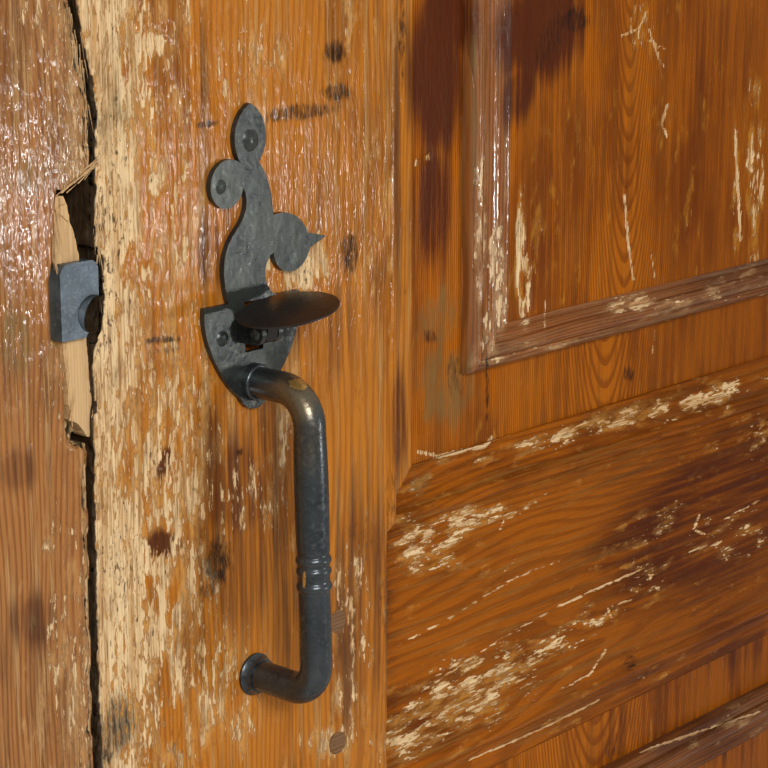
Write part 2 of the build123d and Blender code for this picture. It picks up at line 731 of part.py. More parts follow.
def grip_turning(top, low):
    """The swelled upper grip, its two rings, and the plainer lower part, turned about the bar."""
    start, end = Vector(*top), Vector(*low)
    axis = (end - start).normalized()
    a = ARM_RADIUS
    # Distance down the bar from the upper arm's middle, and radius
    profile = [
        Line((0, BEND_TOP + 2), (a, BEND_TOP + 2)),
        Spline((a, BEND_TOP + 2), (GRIP_SWELL, 48), (a + 0.2, 76)),
        Line((a + 0.2, 76), (a - 0.9, 77.2)),
        ThreePointArc((a - 0.9, 77.2), (a + 0.9, 80), (a - 0.9, 82.8)),
        ThreePointArc((a - 0.9, 82.8), (a + 0.8, 85.4), (a - 1.2, 88)),
        Line((a - 1.2, 88), (a - 1.2, 90)),
        ThreePointArc((a - 1.2, 90), (a + 0.9, 92.6), (a - 0.4, 95.4)),
        Spline((a - 0.4, 95.4), (a - 0.1, 112), (a, GRIP_LONG - BEND_LOW - 2)),
        Line((a, GRIP_LONG - BEND_LOW - 2), (0, GRIP_LONG - BEND_LOW - 2)),
        Line((0, GRIP_LONG - BEND_LOW - 2), (0, BEND_TOP + 2)),
    ]
    plane = Plane(start, x_dir=(1, 0, 0), z_dir=Vector(1, 0, 0).cross(axis))
    turned = revolve(plane * make_face(profile), axis=Axis(start, axis))
    return turned


def handle_rose():
    """The flared foot under the grip's lower end."""
    z = LEVER_Z - ARM_DROP - GRIP_LONG
    profile = make_face(
        [
            Line((0, 0), (ROSE_RADIUS, 0)),
            Line((ROSE_RADIUS, 0), (ROSE_RADIUS, 1.2)),
            ThreePointArc((ROSE_RADIUS, 1.2), (ROSE_RADIUS - 1.4, 3.2), (ARM_RADIUS + 0.9, ROSE_THICK)),
            Line((ARM_RADIUS + 0.9, ROSE_THICK), (ARM_RADIUS, ROSE_THICK)),
            Line((ARM_RADIUS, ROSE_THICK), (ARM_RADIUS, ROSE_THICK - 1)),
            Line((ARM_RADIUS, ROSE_THICK - 1), (0, ROSE_THICK - 1)),
            Line((0, ROSE_THICK - 1), (0, 0)),
        ]
    )
    return Plane((HANDLE_X, FRONT, z), z_dir=(0, -1, 0)) * revolve(Plane.XZ * profile, axis=Axis.Z)


# Latch bar and its fittings on the back


def bar_pivot_x():
    return -LEAF_HALF + BAR_PIVOT_FROM_EDGE


def latch_bar():
    x_end = bar_pivot_x() + BAR_TAIL
    x_nose = -LEAF_HALF - BAR_NOSE - LIP
    z = BAR_MID_Z
    half = BAR_HIGH / 2
    face = outline(
        (x_end, z - half), (x_end, z + half), (x_nose + 6, z + half), (x_nose, z + half - 7), (x_nose, z - half)
    )
    y = BACK + BAR_STAND
    body = xz_slab(face, y, y + BAR_THICK)
    hole = rod((bar_pivot_x(), y - 1, z), (bar_pivot_x(), y + BAR_THICK + 1, z), BAR_PIN_RADIUS + PIN_PLAY)
    knob_x = -LEAF_HALF + KNOB_FROM_EDGE
    body -= rod((knob_x, y - 1, z), (knob_x, y + BAR_THICK + 1, z), 3.0)
    return body - hole


def bar_knob():
    """A small turned knob riveted through the bar, to lift it from inside."""
    x = -LEAF_HALF + KNOB_FROM_EDGE
    y = BACK + BAR_STAND + BAR_THICK
    profile = make_face(
        [
            Line((0, -BAR_THICK), (3.0, -BAR_THICK)),
            Line((3.0, -BAR_THICK), (3.0, 0)),
            Line((3.0, 0), (7.0, 0)),
            ThreePointArc((7.0, 0), (4.6, 5.0), (6.5, 9.0)),
            ThreePointArc((6.5, 9.0), (9.4, 11.2), (10.0, 14.0)),
            cap((10.0, 14.0), 21.0),
            Line((0, 21.0), (0, -BAR_THICK)),
        ]
    )
    return Plane((x, y, BAR_MID_Z), z_dir=(0, 1, 0)) * revolve(Plane.XZ * profile, axis=Axis.Z)


def bar_bolt():
    """The bar's pivot bolt: shoulder against the stile, shank in the wood, and a domed head."""
    x, z = bar_pivot_x(), BAR_MID_Z
    bar_y = BACK + BAR_STAND
    body = rod((x, BACK - BAR_BOLT_LONG, z), (x, bar_y + BAR_THICK + 0.5, z), BAR_PIN_RADIUS)
    body += rod((x, BACK, z), (x, bar_y - 0.3, z), 10)
    return body + dome((x, bar_y + BAR_THICK + 0.4, z), (0, 1, 0), 10, 4.5)


def latch_staple():
    """The iron staple that guides the bar, driven into the stile's back."""
    x = -LEAF_HALF + STAPLE_FROM_EDGE
    r = STAPLE_ROD / 2
    z_low = BAR_MID_Z - BAR_HIGH / 2 - 0.4 - r
    z_high = BAR_MID_Z + BAR_HIGH / 2 + STAPLE_LIFT + 2 + r
    y_out = BACK + BAR_STAND + BAR_THICK + 2.5 + r
    path = FilletPolyline(
        (x, BACK - 25, z_low), (x, y_out, z_low), (x, y_out, z_high), (x, BACK - 25, z_high), radius=4.0
    )
    return sweep(Plane(path @ 0, z_dir=path % 0) * Circle(r), path=path)


# Keeper in the jamb


def keeper_faces():
    low = KEEPER_MID_Z - KEEPER_HIGH / 2
    high = KEEPER_MID_Z + KEEPER_HIGH / 2
    left = -FRAME_IN + GAP - KEEPER_LEFT
    right = -LEAF_HALF - KEEPER_RIGHT
    return left, right, low, high


def keeper_block():
    """The keeper's front: rounded at its top, scooped at the lower right where its lip is gone."""
    left, right, low, high = keeper_faces()
    return make_face(
        [
            Line((left, low), (left, high - 5)),
            ThreePointArc((left, high - 5), (left + 1.6, high - 1.4), (left + 5, high)),
            Line((left + 5, high), (right - 4, high)),
            ThreePointArc((right - 4, high), (right - 1, high - 1.5), (right, high - 5)),
            Line((right, high - 5), (right, low + 20)),
            ThreePointArc((right, low + 20), (right - 2.2, low + 9), (right - 6.5, low + 2)),
            Line((right - 6.5, low + 2), (right - 8, low)),
            Line((right - 8, low), (left, low)),
        ]
    )


def keeper():
    """One forging: a block let into the jamb's front edge, a web through the wood, and a hooked back plate."""
    left, right, low, high = keeper_faces()
    body = xz_slab(keeper_block(), FRONT - KEEPER_OUT, FRONT + 13)
    scoop = Pos(right - 4, FRONT - KEEPER_OUT - 1.5, low + 10) * Sphere(8.5)
    body -= scoop
    web_right = -FRAME_IN_BACK - 1
    body += xz_slab(outline((left, low), (left, high), (web_right, high), (web_right, low)), FRONT + 12, BACK + 3)
    shelf_top = BAR_MID_Z - BAR_HIGH / 2 - TAIL_GAP
    back_left = left - 36
    plate = outline(
        (back_left, low - 4), (back_left, high + 4), (left + 2, high + 4), (web_right, high), (web_right, low),
        (left + 2, low - 4),
    )
    body += xz_slab(plate, BACK, BACK + 3)
    for x, z in keeper_nail_places():
        body -= rod((x, BACK - 1, z), (x, BACK + 4, z), KEEPER_NAIL_SHANK)
    shelf = outline(
        (left - 8, low - 4), (left - 8, shelf_top), (web_right, shelf_top), (web_right, low), (left + 2, low - 4)
    )
    return body + xz_slab(shelf, BACK + 2, BACK + BAR_STAND + BAR_THICK + 2)


def keeper_nail_places():
    left, right, low, high = keeper_faces()
    return [(left - 28, low + 3), (left - 28, high - 3)]


def keeper_nails():
    group = []
    for x, z in keeper_nail_places():
        group.append(nail((x, BACK + 3, z), (0, 1, 0), 4.5, 2.0, KEEPER_NAIL_SHANK, KEEPER_NAIL_LONG))
    return group


def splintered_hole():
    """Where the jamb's edge is broken through above the keeper."""
    x = -FRAME_IN
    points = ((8, 1176), (-6, 1172), (-13, 1167), (-14, 1160), (-9, 1150), (-6, 1146), (-5.5, 1138), (8, 1138))
    return outline(*[(x + p, z) for p, z in points])


def splintered_strip():
    """The shallow bed of torn wood above and below the keeper."""
    x = -FRAME_IN
    points = (
        (8, 1168), (-15, 1171), (-19, 1140), (-21, KEEPER_MID_Z + 10), (-21, KEEPER_MID_Z - 17),
        (-15, 1102), (-15, 1066), (-8, 1056), (8, 1060),
    )
    return outline(*[(x + p, z) for p, z in points])


# Frame


def latch_jamb():
    left, right, low, high = keeper_faces()
    body = upright(jamb_section(), 0, SPRING_Z)
    extra = Pos(FRAME_IN - 2, (FRONT + STOP_BACK) / 2, SPRING_Z / 2) * Box(20, STOP_DEPTH, SPRING_Z)
    body = mirrored(body + extra)
    line = Spline(*[(-FRAME_IN + wander, z) for z, wander in EDGE_WANDER])
    top, bottom = (-FRAME_IN, SPRING_Z), (-FRAME_IN, 0)
    beyond = make_face([line, Polyline(top, (-FRAME_IN + 40, SPRING_Z), (-FRAME_IN + 40, 0), bottom)])
    body -= xz_slab(beyond, FRONT - 5, STOP_BACK)
    body -= xz_slab(splintered_hole(), FRONT - 5, STOP_BACK + 5)
    body -= xz_slab(splintered_strip(), FRONT - 5, FRONT + 7)
    pocket = outline((left, low), (left, high), (left + 60, high), (left + 60, low))
    body -= xz_slab(pocket, FRONT - 5, BACK + 5)
    for x, z in keeper_nail_places():
        body -= rod((x, BACK + 3 - KEEPER_NAIL_LONG, z), (x, BACK + 1, z), KEEPER_NAIL_SHANK)
    body -= mirrored(sill_tenon(play=1))
    body += mirrored(head_tenon())
    body -= pintle_nail_holes(-1)
    return drill(body, frame_peg_places())


def sill_tenon(play=0.0):
    block = Box(40 + play, GROOVE_WIDE, SILL_HEIGHT - 12, align=(Align.MIN, Align.CENTER, Align.CENTER))
    return Pos(FRAME_IN_BACK, (STOP_BACK + BACK) / 2, SILL_HEIGHT / 2) * block


def head_tenon(play=0.0):
    block = Box(40, GROOVE_WIDE, 50 + play, align=(Align.CENTER, Align.CENTER, Align.MIN))
    return Pos((FRAME_IN_BACK + FRAME_OUT) / 2, 0, SPRING_Z) * block


def hinge_jamb():
    body = upright(jamb_section(), 0, SPRING_Z) - sill_tenon(play=1) + head_tenon()
    body -= pintle_nail_holes(1)
    return drill(body, frame_peg_places())


def head_right():
    body = arched(jamb_section(), 0, 90) - head_tenon(play=1)
    body -= crown_tongue(play=1)
    return drill(body, frame_peg_places())


def head_left():
    body = arched(jamb_section(), 90, 90) - mirrored(head_tenon(play=1))
    body += crown_tongue()
    return drill(body, frame_peg_places())


def crown_tongue(play=0.0):
    block = Box(45 + play, GROOVE_WIDE, 45, align=(Align.MIN, Align.CENTER, Align.CENTER))
    return Pos(0, 0, SPRING_Z + (FRAME_IN_BACK + FRAME_OUT) / 2) * block


def threshold():
    """The oak sill between the jambs, worn lower in the middle of its front edge."""
    section = outline(
        (FRONT, 0), (BACK, 0), (BACK, SILL_HEIGHT), (FRONT + 6, SILL_HEIGHT), (FRONT, SILL_HEIGHT - 5)
    )
    body = crosswise(section, -FRAME_IN, FRAME_IN)
    filler = outline((STOP_BACK, 0), (BACK, 0), (BACK, SILL_HEIGHT), (STOP_BACK, SILL_HEIGHT))
    body += crosswise(filler, -FRAME_IN_BACK, FRAME_IN_BACK)
    body += sill_tenon() + mirrored(sill_tenon())
    return drill(body, frame_peg_places()) - latch_jamb()


# Hinges


def hinge_axis():
    return LEAF_HALF + HINGE_OUT, BACK + HINGE_BACK


def strap_hinge(z, reach):
    """A forged strap that narrows to a rounded end, with a rolled eye for the pintle."""
    x, y = hinge_axis()
    tip = x - HINGE_OUT - reach
    half = STRAP_HIGH / 2
    root = LEAF_HALF + 10
    face = make_face(
        [
            Line((root, z - half), (root, z + half)),
            Line((root, z + half), (tip + 14, z + half * 0.55)),
            ThreePointArc((tip + 14, z + half * 0.55), (tip, z), (tip + 14, z - half * 0.55)),
            Line((tip + 14, z - half * 0.55), (root, z - half)),
        ]
    )
    body = xz_slab(face, BACK, BACK + STRAP_THICK)
    low = z - half
    neck = outline(
        (root - 6, BACK), (root, BACK), (x - 6, BACK + 3.6), (x - 6, BACK + 9), (root - 6, BACK + STRAP_THICK)
    )
    body += upright(neck, low, z + half)
    body += rod((x, y, low), (x, y, z + half), EYE_RADIUS)
    body -= rod((x, y, low - 1), (x, y, z + half + 1), PINTLE_RADIUS + EYE_PLAY)
    for px, pz in strap_nail_places(z, reach):
        body -= rod((px, BACK - 1, pz), (px, BACK + STRAP_THICK + 1, pz), STRAP_NAIL_SHANK)
    return body


def strap_nail_places(z, reach):
    start, end = LEAF_HALF - 28, LEAF_HALF - reach + 26
    count = 3 if reach < 300 else 5
    return [(start + (end - start) * k / (count - 1), z) for k in range(count)]


def strap_nails():
    group = []
    for z, reach in zip(HINGE_HEIGHTS, STRAP_REACH):
        for px, pz in strap_nail_places(z, reach):
            place = (px, BACK + STRAP_THICK, pz)
            group.append(nail(place, (0, 1, 0), 6.0, 2.6, STRAP_NAIL_SHANK, STRAP_NAIL_LONG))
    return group


def pintle(z):
    """The hinge hook: a plate nailed on the jamb's back, an arm, and the upright pin."""
    x, y = hinge_axis()
    low = z - STRAP_HIGH / 2 - EYE_LIFT
    pin = rod((x, y, low - 14), (x, y, z + STRAP_HIGH / 2 + 6), PINTLE_RADIUS)
    seat = rod((x, y, low - 14), (x, y, low), EYE_RADIUS)
    plate = xz_slab(box_face_at(x + 18, x + 64, low - 52, low - 2), BACK, BACK + STRAP_THICK)
    arm = upright(outline((x, BACK + 2), (x + 24, BACK), (x + 24, BACK + 9), (x, y + 8)), low - 14, low)
    body = pin + seat + plate + arm
    for px, pz in pintle_nail_places(z):
        body -= rod((px, BACK - 1, pz), (px, BACK + STRAP_THICK + 1, pz), STRAP_NAIL_SHANK)
    return body


def box_face_at(x_low, x_high, z_low, z_high):
    return Pos((x_low + x_high) / 2, (z_low + z_high) / 2) * Rectangle(x_high - x_low, z_high - z_low)


def pintle_nail_places(z):
    x, y = hinge_axis()
    low = z - STRAP_HIGH / 2 - EYE_LIFT
    return [(x + 32, low - 42), (x + 54, low - 42), (x + 54, low - 12)]


def pintle_nails():
    group = []
    for z in HINGE_HEIGHTS:
        for px, pz in pintle_nail_places(z):
            place = (px, BACK + STRAP_THICK, pz)
            group.append(nail(place, (0, 1, 0), 5.5, 2.4, STRAP_NAIL_SHANK, STRAP_NAIL_LONG))
    return group


def pintle_nail_holes(side):
    holes = Part()
    if side > 0:
        for z in HINGE_HEIGHTS:
            for px, pz in pintle_nail_places(z):
                inner = BACK + STRAP_THICK - STRAP_NAIL_LONG
                holes += rod((px, inner, pz), (px, BACK + 1, pz), STRAP_NAIL_SHANK)
    return holes


def main():
    upper_field = UPPER_OPEN_LOW + UPPER_MARGIN
    low_out = LOWER_OPEN[0] + LOWER_MARGIN
    high_out = LOWER_OPEN[1] - LOWER_MARGIN
    upper_side = side_moulding(UPPER_MARGIN, upper_field, SPRING_Z, False)
    lower_side = side_moulding(LOWER_MARGIN, low_out, high_out, True)
    nodes = {
        "latch_jamb": latch_jamb(),
        "hinge_jamb": hinge_jamb(),
        "head_left": head_left(),
        "head_right": head_right(),
        "threshold": threshold(),
        "frame_pegs": Compound(children=frame_peg_set()),
        "keeper": keeper(),
        "keeper_nails": Compound(children=keeper_nails()),
        "pintle_nails": Compound(children=pintle_nails()),
        "latch_stile": latch_stile(),
        "hinge_stile": hinge_stile(),
        "arch_rail_left": arch_rail_left(),
        "arch_rail_right": arch_rail_right(),
        "lock_rail": nailed(drill(rail(LOCK_RAIL_LOW, LOCK_RAIL_HIGH, True), peg_places())),
        "bottom_rail": nailed(drill(rail(LEAF_BOTTOM, BOTTOM_RAIL_HIGH, False), peg_places())),
        "leaf_pegs": Compound(children=leaf_peg_set()),
        "upper_panel": upper_panel(),
        "lower_panel": lower_panel(),
        "upper_moulding_right": upper_side,
        "upper_moulding_left": mirrored(upper_side),
        "upper_moulding_bottom": level_moulding(UPPER_MARGIN, upper_field, True),
        "upper_moulding_arch_right": arch_moulding_right(),
        "upper_moulding_arch_left": mirrored(arch_moulding_right()),
        "lower_moulding_right": lower_side,
        "lower_moulding_left": mirrored(lower_side),
        "lower_moulding_bottom": level_moulding(LOWER_MARGIN, low_out, True),
        "lower_moulding_top": level_moulding(LOWER_MARGIN, high_out, False),
        "latch_plate": latch_plate(),
        "plate_nails": Compound(children=plate_nails()),
        "pull_handle": pull_handle(),
        "handle_rose": handle_rose(),
        "lever_pin": lever_pin(),
        "thumb_lever": thumb_lever(),
        "latch_bar": latch_bar(),
        "bar_knob": bar_knob(),
        "bar_bolt": bar_bolt(),
        "latch_staple": latch_staple(),
        "strap_nails": Compound(children=strap_nails()),
    }
    for name, z, reach in zip(("lower", "middle", "upper"), HINGE_HEIGHTS, STRAP_REACH):
        nodes[f"{name}_strap_hinge"] = strap_hinge(z, reach)
        nodes[f"{name}_pintle"] = pintle(z)
    os.makedirs("parts", exist_ok=True)
    for name, shape in nodes.items():
        export_step(shape, f"parts/{name}.step")


main()
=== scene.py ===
# %% [markdown]
# # An old arched door, dressed for its portrait
# The joiner's part of the work, every board, hinge and nail, comes in ready made as a fixed frame.
# Here it gets its finish: thick old varnish, split and chipped pine, and rubbed dark iron.
# Blender works in metres. +X runs to the hinges, -Y is the face with the handle, and +Z is up.

# %% Load the frame
import json
import math

import bmesh
import bpy
import numpy as np
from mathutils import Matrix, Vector, noise


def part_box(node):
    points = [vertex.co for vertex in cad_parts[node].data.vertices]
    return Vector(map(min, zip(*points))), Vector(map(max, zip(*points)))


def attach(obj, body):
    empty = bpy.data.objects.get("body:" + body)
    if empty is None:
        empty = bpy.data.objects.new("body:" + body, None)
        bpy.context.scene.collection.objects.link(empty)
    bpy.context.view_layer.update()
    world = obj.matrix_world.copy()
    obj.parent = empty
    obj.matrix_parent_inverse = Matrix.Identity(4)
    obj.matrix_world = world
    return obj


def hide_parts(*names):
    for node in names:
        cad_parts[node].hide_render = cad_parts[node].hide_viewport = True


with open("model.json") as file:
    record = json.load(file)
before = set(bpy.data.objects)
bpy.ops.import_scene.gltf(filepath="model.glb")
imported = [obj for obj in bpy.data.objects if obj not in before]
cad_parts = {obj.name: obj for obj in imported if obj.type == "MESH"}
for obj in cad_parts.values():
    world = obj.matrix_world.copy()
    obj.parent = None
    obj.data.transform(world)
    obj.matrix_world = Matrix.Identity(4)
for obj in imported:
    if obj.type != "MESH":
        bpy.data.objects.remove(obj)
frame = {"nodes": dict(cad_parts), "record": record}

MM = 0.001
scene = bpy.context.scene
scene.view_settings.view_transform = "Standard"
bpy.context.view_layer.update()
nodes = frame["nodes"]
body_of_node = {n: body for body, members in frame["record"]["behaviour"]["bodies"].items() for n in members}


def place_object(name, data):
    """A new object in the scene that shows the data."""
    made = bpy.data.objects.new(name, data)
    scene.collection.objects.link(made)
    return made


# %% [markdown]
# ## The camera
# The photograph was taken standing at the latch side, close to the door and a little above the handle.
# Its edges that are parallel on the real door give the turn and the tilt, and the size of the handle gives
# the distance.
# The camera comes first, because the marks of wear were noted by their place in the photograph's frame.

# %% Camera at the photograph's angle
PHOTO_SIDE = 768
EYE = Vector((-1.1381, -0.7301, 1.3005))
TURN = math.radians(48.6)
LOOK_DOWN = math.radians(13.25)
LENS_MM = 101.25
SENSOR_MM = 36.0

camera_data = bpy.data.cameras.new("portrait")
camera_data.lens, camera_data.sensor_width = LENS_MM, SENSOR_MM
camera = place_object("portrait", camera_data)
look = Vector((
    math.sin(TURN) * math.cos(LOOK_DOWN),
    math.cos(TURN) * math.cos(LOOK_DOWN),
    -math.sin(LOOK_DOWN),
))
camera.location = EYE
camera.rotation_euler = look.to_track_quat("-Z", "Y").to_euler()
scene.camera = camera

right = Vector((math.cos(TURN), -math.sin(TURN), 0))
above = right.cross(look)
FOCAL = LENS_MM / SENSOR_MM * PHOTO_SIDE


def photo_place(points):
    """Where points of the door, in metres, land in the photograph: a row of (across, down) in pixels."""
    seen = points - np.array(EYE)
    depth = seen @ np.array(look)
    across = PHOTO_SIDE / 2 + FOCAL * (seen @ np.array(right)) / depth
    down = PHOTO_SIDE / 2 - FOCAL * (seen @ np.array(above)) / depth
    return np.stack([across, down], axis=1)


def on_door(across, down, y):
    """The point of the upright plane at y that shows at a pixel."""
    ray = look + (across - PHOTO_SIDE / 2) / FOCAL * right - (down - PHOTO_SIDE / 2) / FOCAL * above
    return EYE + ray * ((y - EYE.y) / ray.y)


FACE_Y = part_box("latch_stile")[0].y
corners = [on_door(a, d, FACE_Y) for a in (0, PHOTO_SIDE) for d in (0, PHOTO_SIDE)]
SEEN_X = min(c.x for c in corners), max(c.x for c in corners)
SEEN_Z = min(c.z for c in corners), max(c.z for c in corners)
print("the frame shows x", [round(v, 3) for v in SEEN_X], "z", [round(v, 3) for v in SEEN_Z])

# %% [markdown]
# ## Marks of wear
# A door like this is worn where hands, keys and weather reach it. Each mark is an ellipse or a thin line,
# noted in pixels of the photograph: its middle, half width and half height, its strength, and its tilt
# in degrees where it leans.
# The marks are turned into numbers stored on the fine meshes below, so they stay on the wood from every side.
# Kinds: bare wood with the varnish gone, black soot and grime, plum for the burnt red-brown, and grey for
# dull old dirt. Two grey marks on the jamb are painted sheen over dull dirt. The soot kind is also used below
# as painted shade: the meeting gap, the hollow behind the torn jamb and the deepest worn edge are made black.

# %% The marks, by kind
MARKS = {
    "bare": [
        (118, 60, 34, 90, 0.55), (112, 180, 26, 110, 0.75), (106, 300, 16, 60, 1.0),
        (118, 330, 20, 110, 0.55), (135, 260, 12, 80, 0.45), (112, 420, 14, 90, 0.45),
        (125, 570, 26, 60, 0.85), (135, 640, 34, 60, 0.6), (140, 700, 42, 40, 0.35, 8),
        (152, 44, 14, 16, 0.6), (158, 186, 12, 12, 0.55), (176, 200, 5, 22, 0.4), (157, 458, 7, 12, 0.7),
        (163, 566, 10, 14, 0.6), (190, 30, 5, 40, 0.3), (155, 360, 24, 60, 0.26), (180, 410, 30, 60, 0.26),
        (235, 500, 40, 40, 0.28), (305, 262, 22, 26, 0.75, 10), (266, 268, 5, 14, 0.8),
        (330, 742, 26, 14, 0.5), (165, 240, 40, 260, 0.27), (170, 520, 50, 200, 0.42),
        (285, 440, 8, 60, 0.35), (200, 690, 60, 70, 0.36), (250, 80, 40, 60, 0.26), (350, 640, 20, 120, 0.3),
        (288, 384, 10, 20, 0.3), (345, 600, 12, 20, 0.35), (40, 20, 30, 40, 0.25), (75, 80, 8, 90, 0.4),
        (70, 660, 26, 90, 0.3), (60, 545, 20, 40, 0.25), (480, 235, 8, 80, 0.4), (498, 280, 10, 60, 0.4),
        (520, 250, 5, 60, 0.55), (526, 290, 5, 40, 0.5), (632, 305, 22, 10, 0.5, -12),
        (690, 300, 60, 8, 0.3, -14), (755, 170, 9, 80, 0.4), (736, 190, 3, 70, 0.3),
        (600, 425, 110, 10, 0.42, -17), (700, 400, 60, 10, 0.4, -19), (430, 545, 40, 28, 0.42, -20),
        (470, 520, 60, 12, 0.38, -18), (470, 690, 60, 36, 0.42, -25), (560, 640, 60, 14, 0.32, -28),
        (410, 740, 40, 20, 0.4, -20), (425, 160, 10, 4, 0.5, -30), (490, 330, 12, 30, 0.35),
        (730, 540, 40, 30, 0.22, -20), (655, 580, 12, 22, 0.25), (640, 25, 14, 30, 0.3),
        (530, 350, 60, 5, 0.3, -13),
    ],
    # In the soot list, (402, 40) and (405, 250) darken the groove of the stile's moulding, as the plum mark
    # at (398, 150) does, and (630, 662) is painted shadow in the groove under the rail
    "soot_and_shade": [
        (207, 124, 14, 4, 0.8, -8), (300, 112, 42, 9, 0.75, -6), (335, 52, 12, 12, 0.85),
        (338, 92, 16, 10, 0.8, -8), (163, 340, 22, 4, 0.75, -3), (165, 351, 20, 4, 0.6, -6),
        (350, 255, 10, 24, 0.8), (358, 400, 6, 16, 0.45), (218, 562, 14, 26, 0.8),
        (208, 590, 14, 8, 0.6, -30), (120, 725, 16, 34, 0.75), (105, 745, 10, 30, 0.7),
        (178, 745, 8, 26, 0.5), (575, 20, 18, 14, 0.7), (550, 40, 14, 36, 0.55, 25), (430, 336, 8, 9, 0.7),
        (456, 375, 11, 26, 0.6), (629, 374, 6, 9, 0.8), (612, 745, 12, 18, 0.6), (630, 662, 10, 12, 0.6),
        (455, 250, 20, 14, 0.3), (402, 40, 4, 46, 0.7), (405, 250, 3, 60, 0.4), (385, 600, 8, 40, 0.5),
        (360, 540, 22, 26, 0.4), (392, 500, 8, 40, 0.5), (395, 690, 6, 70, 0.4), (487, 392, 2, 52, 0.9),
        (412, 545, 8, 10, 0.4), (745, 590, 30, 7, 0.4, -27), (240, 452, 3, 4, 0.9), (34, 628, 18, 16, 0.35),
        (14, 480, 14, 20, 0.3), (110, 40, 8, 12, 0.4),
    ],
    "plum": [
        (435, 70, 26, 80, 1.0), (432, 205, 20, 70, 0.75), (445, 20, 30, 40, 0.9), (540, 30, 40, 50, 0.95, 28),
        (520, 90, 16, 40, 0.7, 20), (240, 490, 34, 60, 0.6), (215, 470, 10, 80, 0.6), (262, 450, 16, 50, 0.5),
        (215, 255, 24, 40, 0.5), (238, 560, 44, 90, 0.5), (300, 620, 30, 60, 0.42), (190, 640, 30, 50, 0.36),
        (340, 330, 18, 60, 0.4), (205, 60, 12, 60, 0.4), (35, 620, 26, 30, 0.5), (18, 470, 22, 26, 0.5),
        (120, 410, 12, 22, 0.4), (230, 210, 10, 30, 0.5), (240, 600, 30, 24, 0.4), (165, 462, 8, 16, 0.8, 20),
        (163, 545, 18, 14, 0.85), (362, 600, 34, 150, 0.5), (398, 420, 10, 60, 0.6), (398, 150, 6, 160, 0.45),
        (12, 250, 14, 40, 0.35), (60, 470, 30, 26, 0.3), (710, 520, 110, 80, 0.55, -25),
        (740, 640, 50, 30, 0.5, -25), (560, 590, 60, 24, 0.25, -26), (640, 700, 60, 40, 0.35),
        (700, 740, 60, 30, 0.45), (720, 60, 30, 80, 0.3),
    ],
    # The grey marks at (32, 175) and (16, 340), on the jamb, stand where its varnish glares: painted sheen
    # over dull dirt
    "grey_and_sheen": [
        (32, 175, 24, 24, 0.8), (115, 90, 24, 90, 0.6), (125, 430, 10, 60, 0.35), (130, 600, 14, 50, 0.3),
        (16, 340, 22, 40, 0.8), (8, 300, 10, 30, 0.5), (104, 500, 5, 40, 0.3), (146, 490, 4, 40, 0.5),
        (440, 320, 26, 34, 0.85), (445, 385, 28, 44, 1.0), (465, 220, 6, 140, 0.55), (473, 90, 5, 100, 0.85),
        (435, 455, 26, 10, 0.5), (420, 480, 12, 20, 0.6), (560, 440, 60, 5, 0.5, -17),
        (300, 268, 24, 20, 0.3), (32, 625, 16, 14, 0.5), (700, 740, 60, 6, 0.4, -24),
    ],
}
# Thin scratches through the varnish: points along each, and a half width in pixels
SCRATCHES = [
    ([(398, 646), (450, 618), (515, 578), (560, 560)], 1.1), ([(425, 690), (500, 640), (560, 606)], 1.2),
    ([(560, 606), (600, 588), (640, 570)], 1.4), ([(505, 572), (515, 560), (540, 552)], 0.9),
    ([(418, 452), (440, 456), (470, 449), (485, 447), (492, 437)], 2.4),
    ([(625, 195), (628, 240), (634, 280)], 1.5),
    ([(622, 36), (640, 28), (648, 10)], 1.4), ([(650, 30), (660, 60), (664, 66)], 1.5),
    ([(648, 40), (668, 50)], 1.3), ([(668, 104), (662, 124), (668, 138)], 1.6),
    ([(652, 255), (655, 278)], 1.0),
    ([(496, 690), (540, 660), (575, 640)], 1.0), ([(560, 690), (590, 675), (606, 650)], 1.2),
    ([(608, 608), (612, 618)], 1.2), ([(612, 606), (632, 600)], 1.1), ([(690, 552), (722, 542)], 1.5),
    ([(700, 515), (694, 530), (705, 534)], 1.4), ([(725, 520), (745, 508), (760, 500)], 1.0),
    ([(736, 130), (738, 180), (741, 240)], 1.6), ([(412, 530), (440, 520), (470, 505)], 1.0),
    ([(399, 560), (420, 548), (430, 560)], 1.2), ([(500, 530), (505, 520), (530, 508)], 1.2),
    ([(152, 36), (172, 44)], 1.6), ([(146, 34), (146, 70)], 2.4), ([(188, 0), (192, 60), (194, 100)], 1.0),
    ([(240, 33), (250, 30), (250, 24)], 0.8), ([(173, 205), (176, 240)], 1.6),
    ([(148, 470), (152, 480)], 1.6),
    ([(420, 720), (470, 700), (520, 680)], 1.2), ([(470, 760), (540, 730), (600, 700)], 1.2),
    ([(640, 752), (690, 735), (760, 712)], 1.2), ([(655, 330), (652, 360)], 1.0),
    ([(545, 300), (545, 330)], 0.8),
]


def ellipse_field(pixels, marks):
    """The strongest of several soft ellipses at each pixel."""
    field = np.zeros(len(pixels))
    for across, down, half_wide, half_high, strength, *tilt in marks:
        turn = math.radians(sum(tilt))
        dx, dy = pixels[:, 0] - across, pixels[:, 1] - down
        along = dx * math.cos(turn) + dy * math.sin(turn)
        up = -dx * math.sin(turn) + dy * math.cos(turn)
        far = np.sqrt((along / half_wide) ** 2 + (up / half_high) ** 2)
        field = np.maximum(field, strength * np.clip(1.6 - far, 0, 1))
    return field


